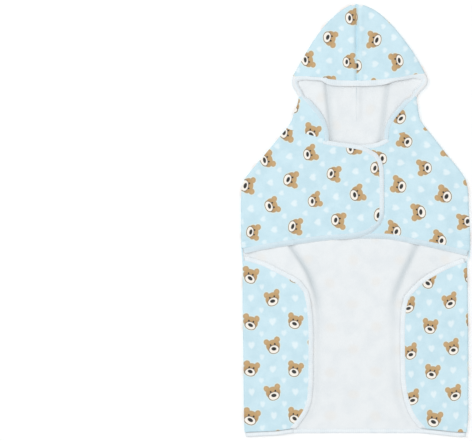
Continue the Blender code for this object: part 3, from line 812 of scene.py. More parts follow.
@dataclass(frozen=True)
class StitchMaker:
    """Makes runs of stitches with Geometry Nodes: one short rounded thread for each pitch along a line."""

    pitch: float = 3.1
    length: float = 2.2
    width: float = 0.5
    height: float = 0.34
    vary: tuple[float, float] = (0.82, 1.1)
    seed: int = 7
    segments: int = 8
    rings: int = 5

    def tree(self) -> bpy.types.GeometryNodeTree:
        """Build the node tree.

        Returns:
            A tree with the inputs Pitch, Stitch Length, Stitch Width, Stitch Height and Thread.
        """
        tree = bpy.data.node_groups.new("stitch_run", "GeometryNodeTree")
        face = tree.interface
        face.new_socket("Geometry", in_out="INPUT", socket_type="NodeSocketGeometry")
        for name in ("Pitch", "Stitch Length", "Stitch Width", "Stitch Height"):
            face.new_socket(name, in_out="INPUT", socket_type="NodeSocketFloat")
        face.new_socket("Thread", in_out="INPUT", socket_type="NodeSocketMaterial")
        face.new_socket("Geometry", in_out="OUTPUT", socket_type="NodeSocketGeometry")
        add = partial(add_node, tree)
        given = add("NodeGroupInput").outputs
        curve = add("GeometryNodeMeshToCurve", {"Mesh": given["Geometry"]}).outputs["Curve"]
        line = add("GeometryNodeResampleCurve", {"Curve": curve, "Length": given["Pitch"]}, mode="LENGTH")
        along = add("GeometryNodeInputTangent").outputs["Tangent"]
        turn = add("FunctionNodeAlignRotationToVector", {"Vector": along}, axis="X")
        bead = {"Segments": self.segments, "Rings": self.rings, "Radius": 0.5}
        ball = add("GeometryNodeMeshUVSphere", bead).outputs["Mesh"]
        soft = add("GeometryNodeSetShadeSmooth", {"Geometry": ball})
        limits = {2: self.vary[0], 3: self.vary[1], "Seed": self.seed}
        chance = add("FunctionNodeRandomValue", limits, data_type="FLOAT").outputs[1]
        length = add("ShaderNodeMath", {0: given["Stitch Length"], 1: chance}, operation="MULTIPLY")
        sizes = {"X": length.outputs[0], "Y": given["Stitch Width"], "Z": given["Stitch Height"]}
        place = add("GeometryNodeInstanceOnPoints", {
            "Points": line.outputs["Curve"],
            "Instance": soft.outputs["Geometry"],
            "Rotation": turn.outputs["Rotation"],
            "Scale": add("ShaderNodeCombineXYZ", sizes).outputs["Vector"],
        })
        real = add("GeometryNodeRealizeInstances", {"Geometry": place.outputs["Instances"]})
        parts = {"Geometry": real.outputs["Geometry"], "Material": given["Thread"]}
        sewn = add("GeometryNodeSetMaterial", parts)
        add("NodeGroupOutput", {"Geometry": sewn.outputs["Geometry"]})
        return tree

    def build(self, name: str, path: Array, thread: bpy.types.Material) -> bpy.types.Object:
        """Stitch along a line.

        Args:
            name: the piece's name.
            path: the line, in millimetres.
            thread: the thread's material.

        Returns:
            The stitches, as one plain mesh.
        """
        mesh = bpy.data.meshes.new(name)
        mesh.from_pydata(to_world(path).tolist(), [(k, k + 1) for k in range(len(path) - 1)], [])
        item = link(bpy.data.objects.new(name, mesh))
        tree = bpy.data.node_groups.get("stitch_run") or self.tree()
        stitches = item.modifiers.new("stitches", "NODES")
        stitches.node_group = tree
        sizes = {
            "Pitch": self.pitch * MM, "Stitch Length": self.length * MM, "Stitch Width": self.width * MM,
            "Stitch Height": self.height * MM, "Thread": thread,
        }
        for socket in tree.interface.items_tree:
            if socket.in_out == "INPUT" and socket.name in sizes:
                stitches[socket.identifier] = sizes[socket.name]
        return plain_mesh(item)


# ---- finishes ----


def tone(red: int, green: int, blue: int) -> tuple[float, float, float, float]:
    """A display colour, from 0 to 255, as the linear colour that shaders take."""
    shares = [channel / 255.0 for channel in (red, green, blue)]
    linear = [s / 12.92 if s <= 0.04045 else ((s + 0.055) / 1.055) ** 2.4 for s in shares]
    return (linear[0], linear[1], linear[2], 1.0)


class Value:
    """A number that varies over a surface, which takes part in Python expressions."""

    def __init__(self, shader: "Shader", socket: bpy.types.NodeSocket) -> None:
        """Wrap an output socket of a shader's node."""
        self.shader = shader
        self.socket = socket

    def math(self, operation: str, *others: "Number", first: Optional["Number"] = None) -> "Value":
        """Add a Math node.

        Args:
            operation: what it does.
            others: its further inputs.
            first: what stands before this value, if something does.

        Returns:
            Its result.
        """
        values = ([self] if first is None else [first, self]) + list(others)
        node = self.shader.node("ShaderNodeMath", dict(enumerate(values)), operation=operation)
        return Value(self.shader, node.outputs[0])

    def __add__(self, other: "Number") -> "Value":
        """Sum."""
        return self.math("ADD", other)

    def __sub__(self, other: "Number") -> "Value":
        """Difference."""
        return self.math("SUBTRACT", other)

    def __rsub__(self, other: "Number") -> "Value":
        """Difference from a number."""
        return self.math("SUBTRACT", first=other)

    def __mul__(self, other: "Number") -> "Value":
        """Product."""
        return self.math("MULTIPLY", other)

    def __truediv__(self, other: "Number") -> "Value":
        """Quotient."""
        return self.math("DIVIDE", other)

    def __abs__(self) -> "Value":
        """Size without its sign."""
        return self.math("ABSOLUTE")

    def __lt__(self, other: "Number") -> "Value":
        """1 where it is less, otherwise 0."""
        return self.math("LESS_THAN", other)

    def fract(self) -> "Value":
        """What is left over the whole number below it."""
        return self.math("FRACT")

    def root(self) -> "Value":
        """Square root."""
        return self.math("SQRT")

    def sine(self) -> "Value":
        """Sine."""
        return self.math("SINE")

    def least(self, other: "Number") -> "Value":
        """The lesser of two."""
        return self.math("MINIMUM", other)

    def ramp(self, start: float, end: float) -> "Value":
        """0 at start and 1 at end, clamped and smooth in between; start may be the greater one."""
        values = {"Value": self, "From Min": start, "From Max": end}
        node = self.shader.node("ShaderNodeMapRange", values, interpolation_type="SMOOTHSTEP")
        return Value(self.shader, node.outputs["Result"])

    def pick(self, other: "Value", share: "Value") -> "Value":
        """This value where share is 1, and the other one where it is 0."""
        return other + (self - other) * share


Number = Value | float


class Shader:
    """A material whose nodes are added from Python expressions."""

    gloss = 0.18

    def __init__(
        self, name: str, roughness: float, sheen: float = 0.0, sheen_roughness: float = 0.5
    ) -> None:
        """Start a material.

        Args:
            name: its name.
            roughness: of its surface.
            sheen: how much its nap catches light at the sides.
            sheen_roughness: how wide that light is.
        """
        self.material = bpy.data.materials.new(name)
        self.material.use_nodes = True
        self.tree = self.material.node_tree
        self.surface = self.tree.nodes["Principled BSDF"]
        self.surface.inputs["Roughness"].default_value = roughness
        self.surface.inputs["Specular IOR Level"].default_value = self.gloss
        self.surface.inputs["Sheen Weight"].default_value = sheen
        self.surface.inputs["Sheen Roughness"].default_value = sheen_roughness

    def node(
        self, kind: str, values: Optional[dict[object, object]] = None, **settings: object
    ) -> bpy.types.Node:
        """Add a node, as add_node does, whose sockets may be linked from values too."""
        sources = {
            key: value.socket if isinstance(value, Value) else value for key, value in (values or {}).items()
        }
        return add_node(self.tree, kind, sources, **settings)

    def value(self, node: bpy.types.Node, output: str) -> Value:
        """One of a node's outputs, for expressions."""
        return Value(self, node.outputs[output])

    def vector_math(self, operation: str, values: dict[object, object]) -> bpy.types.NodeSocket:
        """Add a Vector Math node and return its result."""
        return self.node("ShaderNodeVectorMath", values, operation=operation).outputs[0]

    def print_place(self, wobble: float = 0.0) -> tuple[Value, Value]:
        """The piece's own map, in metres across and up.

        Args:
            wobble: how far the cloth's stretch shifts the print, in metres.

        Returns:
            The two coordinates.
        """
        place = self.node("ShaderNodeUVMap", uv_map="print").outputs["UV"]
        if wobble:
            drift = self.node("ShaderNodeTexNoise", {"Vector": place, "Scale": 22.0, "Detail": 1.0})
            centred = self.vector_math("SUBTRACT", {0: drift.outputs["Color"], 1: (0.5, 0.5, 0.5)})
            shift = self.vector_math("SCALE", {0: centred, "Scale": wobble * 4})
            place = self.vector_math("ADD", {0: place, 1: shift})
        parts = self.node("ShaderNodeSeparateXYZ", {"Vector": place})
        return self.value(parts, "X"), self.value(parts, "Y")

    def attribute(self, name: str) -> Value:
        """A number that the piece's points carry."""
        return self.value(self.node("ShaderNodeAttribute", attribute_name=name), "Fac")

    def noise(
        self, scale: float, detail: float = 2.0, stretch: tuple[float, ...] = (1.0, 1.0, 1.0)
    ) -> Value:
        """Even noise from 0 to 1 on the piece's own coordinates.

        Args:
            scale: its grains to a metre.
            detail: how many finer octaves it has.
            stretch: how much finer it is along each axis.

        Returns:
            The noise.
        """
        place = self.node("ShaderNodeTexCoord").outputs["Object"]
        if stretch != (1.0, 1.0, 1.0):
            place = self.node("ShaderNodeMapping", {"Vector": place, "Scale": stretch}).outputs[0]
        grains = self.node("ShaderNodeTexNoise", {"Vector": place, "Scale": scale, "Detail": detail})
        return self.value(grains, "Fac")

    def mix(self, share: Number, base: object, other: object) -> bpy.types.NodeSocket:
        """A colour that is base where share is 0 and the other one where it is 1."""
        return self.node("ShaderNodeMix", {0: share, 6: base, 7: other}, data_type="RGBA").outputs[2]

    def bump(self, height: Value, depth: float, strength: float = 1.0) -> None:
        """Give the surface a relief of some depth, in metres."""
        node = self.node("ShaderNodeBump", {"Height": height, "Distance": depth, "Strength": strength})
        self.node_link(node.outputs["Normal"], "Normal")

    def node_link(self, source: bpy.types.NodeSocket, name: str) -> None:
        """Link a socket to one of the surface's own."""
        self.tree.links.new(source, self.surface.inputs[name])


@dataclass(frozen=True)
class Repeat:
    """The print's repeat: heads in rows that stand half a repeat off each other, and hearts in between.

    Attributes:
        period: width and height of the repeat, which holds two rows, in metres.
        tilt: how far the heads lean, one way in a row and the other way in the next, in degrees.
    """

    period: float = 0.068
    tilt: float = 13.0

    def places(self, across: Value, up: Value) -> dict[str, tuple[Value, Value]]:
        """Coordinates in millimetres round the nearest head, the nearest heart and the nearest dot.

        Args:
            across: the map's first coordinate, in metres.
            up: its second one.

        Returns:
            The coordinates, by what they are round.
        """
        a, b = across / self.period, up / self.period
        a_even, b_even = (a + 0.5).fract() - 0.5, (b + 0.5).fract() - 0.5
        a_odd, b_odd = a.fract() - 0.5, b.fract() - 0.5
        size = self.period / MM
        even = abs(a_even) + abs(b_even) < 0.5
        x, y = a_even.pick(a_odd, even) * size, b_even.pick(b_odd, even) * size
        lean = (even * 2.0 - 1.0) * math.sin(math.radians(self.tilt))
        upright = math.cos(math.radians(self.tilt))
        head = (x * upright + y * lean, y * upright - x * lean)
        beside = abs(a_odd) + abs(b_even) < 0.5
        heart = (a_odd.pick(a_even, beside) * size, b_even.pick(b_odd, beside) * size)
        dot = (((a * 2.0).fract() - 0.5) * (size / 2), ((b * 2.0).fract() - 0.5) * (size / 2))
        return {"head": head, "heart": heart, "dot": dot}


def oval(x: Value, y: Value, centre: Sequence[float], radii: Sequence[float]) -> Value:
    """About how far a point lies outside an oval, and less than 0 inside it."""
    across, up = (x - centre[0]) / radii[0], (y - centre[1]) / radii[1]
    return ((across * across + up * up).root() - 1.0) * (sum(radii) / 2)


def heart_shape(x: Value, y: Value, size: float) -> Value:
    """About how far a point lies outside a soft heart of some half width."""
    across, up = abs(x) / size, y / size + 0.2
    lifted = up - (across + 0.0001).root() * 0.62
    return ((across * across + lifted * lifted).root() - 1.0) * size


@dataclass(frozen=True)
class PrintedFleece:
    """The outer side: pale blue flannel with small bear heads and white hearts, under a short nap."""

    repeat: Repeat = Repeat()
    ground: tuple[float, ...] = tone(202, 229, 239)
    ground_deep: tuple[float, ...] = tone(194, 223, 234)
    white: tuple[float, ...] = tone(246, 251, 252)
    halo: tuple[float, ...] = tone(236, 234, 208)
    outline: tuple[float, ...] = tone(150, 116, 82)
    fur: tuple[float, ...] = tone(176, 137, 86)
    fur_light: tuple[float, ...] = tone(193, 158, 107)
    ear: tuple[float, ...] = tone(206, 166, 118)
    muzzle: tuple[float, ...] = tone(246, 240, 230)
    muzzle_line: tuple[float, ...] = tone(112, 98, 84)
    dark: tuple[float, ...] = tone(12, 7, 3)
    face_oval: Rows = ((0.0, -0.2), (10.4, 8.2))
    ear_oval: Rows = ((8.3, 6.8), (3.9, 4.0))
    inner_ear_oval: Rows = ((8.7, 7.2), (1.9, 1.9))
    snout_oval: Rows = ((0.0, -5.2), (7.9, 5.7))
    nose_oval: Rows = ((0.0, -4.3), (3.8, 2.5))
    nose_lean: float = 0.3
    nose_shift: float = 1.3
    eye_oval: Rows = ((3.5, 1.6), (1.25, 1.35))
    heart_size: float = 4.5
    dot_size: float = 3.5
    wobble: float = 0.0016
    nap: Grain = (950.0, 3.0)
    mottle: Grain = (60.0, 2.0)
    wear: Grain = (1500.0, 2.0)
    pile: Grain = (330.0, 2.0)
    fuzz: float = 1.5
    relief: tuple[float, float] = (0.0009, 0.55)

    def build(self) -> bpy.types.Material:
        """Make the material."""
        shader = Shader("printed_fleece", roughness=0.95, sheen=0.22, sheen_roughness=0.55)
        across, up = shader.print_place(self.wobble)
        places = self.repeat.places(across, up)
        nap = shader.noise(*self.nap)
        fuzz = (nap - 0.5) * self.fuzz
        colour = shader.mix(shader.noise(*self.mottle).ramp(0.35, 0.7), self.ground, self.ground_deep)
        x, y = places["heart"]
        heart = heart_shape(x, y, self.heart_size) + fuzz
        colour = shader.mix(heart.ramp(2.0, -1.7) * 0.5, colour, self.white)
        x, y = places["dot"]
        dot = heart_shape(x, y, self.dot_size) + fuzz
        colour = shader.mix(dot.ramp(1.9, -1.6) * 0.44, colour, self.white)
        colour = self.head(shader, colour, places["head"], fuzz)
        # Random paler flecks of the nap over the print, the same under any light.
        wear_and_crease_shade = shader.noise(*self.wear).ramp(0.3, 0.75) * 0.1
        colour = shader.mix(wear_and_crease_shade, colour, self.white)
        shader.node_link(colour, "Base Color")
        shader.bump(nap * 0.6 + shader.noise(*self.pile) * 0.4, *self.relief)
        return shader.material

    def head(
        self, shader: Shader, ground: bpy.types.NodeSocket, place: tuple[Value, Value], fuzz: Value
    ) -> bpy.types.NodeSocket:
        """Print the bear heads over the ground.

        Args:
            shader: the material.
            ground: the colour below them.
            place: coordinates round the nearest head, in millimetres.
            fuzz: how far the nap moves the edges.

        Returns:
            The colour with the heads.
        """
        x, y = place
        side = abs(x)
        face, ears = oval(side, y, *self.face_oval), oval(side, y, *self.ear_oval)
        snout = oval(side, y, *self.snout_oval)
        whole = face.least(ears).least(snout) + fuzz * 0.6
        colour = shader.mix(whole.ramp(2.2, 0.7) * 0.7, ground, self.halo)
        colour = shader.mix(whole.ramp(0.9, 0.2) * 0.75, colour, self.outline)
        shaded = shader.mix(y.ramp(-7.0, 9.0), self.fur, self.fur_light)
        colour = shader.mix(whole.ramp(0.1, -0.7), colour, shaded)
        inner = oval(side, y, *self.inner_ear_oval)
        colour = shader.mix(inner.ramp(0.6, -0.6) * 0.4, colour, self.ear)
        near = snout + fuzz * 0.4
        colour = shader.mix(near.ramp(1.0, 0.2) * 0.95, colour, self.muzzle_line)
        colour = shader.mix(near.ramp(-0.1, -0.9), colour, self.muzzle)
        nose = oval(x + y * self.nose_lean + self.nose_shift, y, *self.nose_oval)
        eyes = oval(side, y, *self.eye_oval)
        return shader.mix(nose.least(eyes).ramp(0.45, -0.35), colour, self.dark)


@dataclass(frozen=True)
class Lining:
    """The inner side: white fleece with a thicker nap, through which the print shows as a faint warmth,
    greyed in its creases as painted shade.
    """

    repeat: Repeat = Repeat()
    white: tuple[float, ...] = tone(233, 237, 239)
    cool: tuple[float, ...] = tone(227, 232, 235)
    ghost: tuple[float, ...] = tone(232, 228, 222)
    creased: tuple[float, ...] = tone(203, 211, 215)
    ghost_oval: Rows = ((0.0, 0.0), (9.0, 8.0))
    wobble: float = 0.003
    nap: Grain = (720.0, 3.0)
    mottle: Grain = (42.0, 2.0)
    wear: Grain = (35.0, 1.0)
    pile: Grain = (210.0, 2.0)
    relief: tuple[float, float] = (0.0012, 0.6)

    def build(self) -> bpy.types.Material:
        """Make the material."""
        shader = Shader("fleece_lining", roughness=0.97, sheen=0.25, sheen_roughness=0.6)
        across, up = shader.print_place(self.wobble)
        x, y = self.repeat.places(across, up)["head"]
        colour = shader.mix(shader.noise(*self.mottle).ramp(0.35, 0.7), self.white, self.cool)
        colour = shader.mix(oval(x, y, *self.ghost_oval).ramp(2.5, -5.0) * 0.45, colour, self.ghost)
        nap = shader.noise(*self.nap)
        colour = shader.mix(0.25 - nap.ramp(0.3, 0.7) * 0.25, colour, self.cool)
        # Painted shade: the lining is greyed towards the crease tone where the hollow attribute marks a
        # crease, unevenly by a coarse noise.
        wear_and_crease_shade = shader.attribute("hollow") * (shader.noise(*self.wear) * 0.5 + 0.75)
        colour = shader.mix(wear_and_crease_shade.least(1.0), colour, self.creased)
        shader.node_link(colour, "Base Color")
        shader.bump(nap * 0.55 + shader.noise(*self.pile) * 0.45, *self.relief)
        return shader.material


@dataclass(frozen=True)
class BindingFleece:
    """The folded strips: plain fleece from pale blue to white, drawn in a little at each stitch, with painted
    shade in each stitch's dimple.
    """

    blue: tuple[float, ...] = tone(203, 225, 235)
    white: tuple[float, ...] = tone(242, 245, 247)
    shade: tuple[float, ...] = tone(196, 214, 224)
    nap: Grain = (1100.0, 3.0)
    mottle: Grain = (70.0, 2.0)
    pile: Grain = (260.0, 2.0)
    pull_pitch: float = 0.0031
    relief: tuple[float, float] = (0.0009, 0.55)

    def build(self) -> bpy.types.Material:
        """Make the material."""
        shader = Shader("binding_fleece", roughness=0.93, sheen=0.2, sheen_roughness=0.5)
        along, _ = shader.print_place()
        nap = shader.noise(*self.nap)
        colour = shader.mix(shader.attribute("pale"), self.blue, self.white)
        colour = shader.mix(shader.noise(*self.mottle).ramp(0.35, 0.7) * 0.2, colour, self.shade)
        colour = shader.mix(nap.ramp(0.25, 0.75) * -0.12 + 0.12, colour, self.shade)
        pull = (along * (2 * math.pi / self.pull_pitch)).sine()
        # Painted shade: darker in the dimple that each stitch draws in.
        colour = shader.mix(pull.ramp(0.4, 1.0) * 0.14, colour, self.shade)
        shader.node_link(colour, "Base Color")
        shader.bump(nap * 0.5 + pull * 0.12 + shader.noise(*self.pile) * 0.4, *self.relief)
        return shader.material


@dataclass(frozen=True)
class Thread:
    """White sewing thread with a fine twist."""

    pale: tuple[float, ...] = tone(240, 245, 248)
    shade: tuple[float, ...] = tone(214, 226, 233)
    twist: Grain = (2600.0, 1.0)
    stretch: tuple[float, ...] = (1.0, 1.8, 1.0)
    relief: tuple[float, float] = (0.0002, 0.6)

    def build(self) -> bpy.types.Material:
        """Make the material."""
        shader = Shader("white_thread", roughness=0.55, sheen=0.1)
        twist = shader.noise(*self.twist, self.stretch)
        shader.node_link(shader.mix(twist.ramp(0.35, 0.65), self.pale, self.shade), "Base Color")
        shader.bump(twist, *self.relief)
        return shader.material


# ---- the robe's pieces ----


@dataclass(frozen=True)
class Finishes:
    """The materials of the robe, one for each kind of surface."""

    printed: bpy.types.Material
    lining: bpy.types.Material
    binding: bpy.types.Material
    thread: bpy.types.Material

    @classmethod
    def make(cls) -> "Finishes":
        """Build every material once."""
        return cls(
            printed=PrintedFleece().build(),
            lining=Lining().build(),
            binding=BindingFleece().build(),
            thread=Thread().build(),
        )


@dataclass(frozen=True)
class Slot:
    """The record's finishes that a piece can stand for."""

    cloth: str = "printed_fleece"
    trim: str = "binding"


def triangles(item: bpy.types.Object) -> int:
    """How many triangles a piece has."""
    return sum(len(face.vertices) - 2 for face in item.data.polygons)


@dataclass
class Sewn:
    """A finished panel with its trims, and the measures of its cut.

    Attributes:
        panel: the cloth.
        node: the solid that it stands for.
        points: its middle surface in millimetres, by row and column.
        cells: which cells of that grid are cloth.
        rests_on: names of what it lies on.
        trims: the pieces sewn to it.
    """

    panel: bpy.types.Object
    node: str
    points: Array
    cells: Optional[Array]
    rests_on: tuple[str, ...]
    trims: tuple[bpy.types.Object, ...] = ()

    def cut(self) -> tuple[float, float, float]:
        """Measure the cut.

        Returns:
            Its width and length in metres and its area in square metres, all as it was before it was laid.
        """
        grid = self.points * MM
        across = np.linalg.norm(np.diff(grid, axis=1), axis=2)
        up = np.linalg.norm(np.diff(grid, axis=0), axis=2)
        here, right, above, far = grid[:-1, :-1], grid[:-1, 1:], grid[1:, :-1], grid[1:, 1:]
        one = np.linalg.norm(np.cross(right - here, above - here), axis=2)
        two = np.linalg.norm(np.cross(above - far, right - far), axis=2)
        cells = np.ones(one.shape, bool) if self.cells is None else self.cells
        area = float(((one + two) / 2)[cells].sum())
        width, length = float(across.sum(axis=1).max()), float(up.sum(axis=0).max())
        return width, max(length, area / width), area

    def dress(self) -> None:
        """Ride on the robe, stand for its solid and state the cut."""
        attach(self.panel, "root")
        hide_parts(self.node)
        width, length, area = self.cut()
        list(self.rests_on)
        list(self.trims)
        log.info(
            "%s: %d triangles, cut %.3f x %.3f m, %.4f m2",
            self.panel.name, triangles(self.panel), width, length, area,
        )


def dress_trim(item: bpy.types.Object, *nodes: str) -> bpy.types.Object:
    """Ride a trim on the robe, in place of the solids that it stands for, and return it."""
    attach(item, "root")
    if nodes:
        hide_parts(*nodes)
    log.info("%s: %d triangles", item.name, triangles(item))
    return item


def fold_rise(folds: Sequence[Fold], plan: Array) -> Array:
    """Sum of some folds over plan points."""
    rise = np.zeros(plan.shape[:-1])
    for fold in folds:
        rise = rise + fold.rise(plan)
    return rise


@dataclass
class Piece:
    """A piece of the robe, with what the pieces are made from."""

    form: Form
    cloth: Cloth
    trim: BindingMaker
    stitch: StitchMaker
    finishes: Finishes

    def shell(self, name: str, points: Array, lay: PrintLay, **settings: object) -> bpy.types.Object:
        """Build cloth that is printed on one side and plain on the other.

        Args:
            name: its name.
            points: its middle surface, by row and column.
            lay: how the print lies on it.
            settings: the rest of what Cloth.build takes.

        Returns:
            The cloth.
        """
        faces = (self.finishes.printed, self.finishes.lining)
        return self.cloth.build(name, points, lay.map(points[..., :2]), faces, **settings)

    def bind(
        self, names: tuple[str, str, str], rings: Sequence[Ring], inset: float,
        seam: Optional[Sequence[Ring]] = None,
    ) -> tuple[bpy.types.Object, bpy.types.Object]:
        """Build a binding and its stitches.

        Args:
            names: the binding's, its solid's and the stitches'.
            rings: the binding's stations.
            inset: how far the stitches stand in from its inner edge.
            seam: the stations that the stitches follow, if they are others.

        Returns:
            The binding and the stitches.
        """
        strip = dress_trim(self.trim.build(names[0], rings, self.finishes.binding), names[1])
        path = self.trim.seam_path(seam or rings, inset)
        return strip, dress_trim(self.stitch.build(names[2], path, self.finishes.thread))


@dataclass
class BackPanel(Piece):
    """The back, which lies on the floor with its white side up."""

    lay: PrintLay
    hem_width: float = 6.0
    hem_clearance: float = 1.0
    side_share: float = 0.12
    width: float = 340.0
    length: float = 452.0
    pitch: float = 2.7
    arc: int = 4

    def surface(self, u: Array, v: Array) -> Array:
        """Middle surface.

        Args:
            u: shares across, from 0 to 1.
            v: shares up, from 0 to 1.

        Returns:
            Points by row and column.
        """
        form, foot = self.form, self.hem_width + self.form.seam_gap
        side_foot = foot + self.hem_clearance
        heights = {s: side_foot + (NECK_HEIGHT[s] + form.neck_lap - side_foot) * v for s in Side}
        turns = np.linspace(0.5, 0.0, self.arc + 1)
        left = form.roll_points(Side.LEFT, heights[Side.LEFT], turns)
        right = form.roll_points(Side.RIGHT, heights[Side.RIGHT], turns[::-1])
        start, end = left[:, -1, :2], right[:, 0, :2]
        across = u[1:-1]
        plan = start[:, None] * (1 - across[None, :, None]) + end[:, None] * across[None, :, None]
        low = form.edge_height("hem", plan[..., 0]) + foot
        high = form.edge_height("neck", plan[..., 0]) + form.neck_lap
        pull = smooth(np.minimum(across, 1 - across) / self.side_share)[None, :]
        target = low * (1 - v[:, None]) + high * v[:, None]
        plan[..., 1] += (target - plan[..., 1]) * pull
        return np.concatenate([left, join(plan, form.lower(plan)), right], axis=1)

    def build(self) -> Sewn:
        """Build the piece."""
        u, v = spans(0, 1, self.pitch / self.width), spans(0, 1, self.pitch / self.length)
        points = self.surface(u, v)
        hollows = self.form.hollows(points[..., :2])
        item = self.shell("back_cloth", points, self.lay, flip=True, hollows=hollows)
        return Sewn(item, "back_panel", points, None, ("floor",))


@dataclass
class BellyFlap(Piece):
    """A flap that comes round from the side over the belly, with its binding."""

    side: Side
    lay: PrintLay
    hem_width: float = 6.0
    hem_clearance: float = 1.0
    binding_width: float = 6.8
    binding_pale: float = 0.8
    blend_share: float = 0.25
    foot_share: float = 0.4
    foot_rows: tuple[float, ...] = (0.0, 0.05)
    first_row: float = 0.1
    ring_rows: int = 31
    ring_columns: int = 17
    seam_inset: float = 1.5
    width: float = 95.0
    length: float = 250.0
    pitch: float = 2.1
    arc: int = 5

    def surface(self, u: Array, v: Array, arc: int) -> Array:
        """Middle surface.

        Args:
            u: shares in from the roll, from 0 to 1.
            v: shares up, from 0 to 1.
            arc: columns round the roll.

        Returns:
            Points by row and column.
        """
        form, side = self.form, self.side
        side_edge, top_edge = plan_curve(FLAP_SIDES[side]), plan_curve(FLAP_TOPS[side])
        foot = self.hem_width + form.seam_gap
        low, high = foot + self.hem_clearance, FLAP_TOPS[side][0][1]
        roll = form.roll_points(side, low + (high - low) * v, np.linspace(0.5, 1.0, arc + 1))
        start = roll[:, -1, :2]
        bottom_x = start[0, 0] + (FLAP_SIDES[side][0][0] - start[0, 0]) * u
        bottom = np.stack([bottom_x, form.edge_height("hem", bottom_x) + foot], axis=-1)
        shift = start[-1] - top_edge(np.array([0.0]))[0]
        top = top_edge(u) + shift * (1 - smooth(u / self.blend_share))[:, None]
        plan = patch(bottom, top, start, side_edge(v), u, v)[:, 1:]
        inside = np.linalg.norm(plan - start[:, None], axis=-1)
        return np.concatenate([roll, join(plan, form.upper(plan, inside))], axis=1)

    def rings(self) -> list[Ring]:
        """Stations of the binding, from the hem up the side and out along the top."""
        v = np.concatenate([self.foot_rows, np.linspace(self.first_row, 1.0, self.ring_rows)])
        points = self.surface(np.linspace(0.0, 1.0, self.ring_columns), v, 1)
        edge = np.vstack([points[:, -1], points[-1, 1:-1][::-1]])
        inner = np.vstack([points[:, -2], points[-2, 1:-1][::-1]])
        widths = [self.binding_width] * len(edge)
        rings = self.trim.edge_rings(edge, inner, self.side.value, widths, self.form.seam_gap)
        for ring in rings:
            ring.pale = self.binding_pale
        return [self.level_end(rings[0])] + rings[1:]

    def level_end(self, ring: Ring) -> Ring:
        """The station at the foot, turned to lie along the bottom hem."""
        level = np.array([-self.side.value / abs(ring.across[0]), 0.0, 0.0])
        foot = ring.centre - ring.across * ring.half_width
        rise = np.array([0.0, self.hem_clearance * self.foot_share, 0.0])
        centre = foot + level * ring.half_width + rise
        return Ring(centre, level, ring.half_width, ring.half_height, ring.pale)

    def build(self) -> Sewn:
        """Build the flap, its binding and its stitches."""
        u, v = spans(0, 1, self.pitch / self.width), spans(0, 1, self.pitch / self.length)
        points = self.surface(u, v, self.arc)
        name = self.side.label
        item = self.shell(f"flap_cloth_{name}", points, self.lay, flip=self.side is Side.RIGHT)
        names = (f"flap_trim_{name}", f"flap_binding_{name}", f"flap_stitches_{name}")
        trims = self.bind(names, self.rings(), self.seam_inset)
        return Sewn(item, f"belly_flap_{name}", points, None, ("back_cloth",), trims)


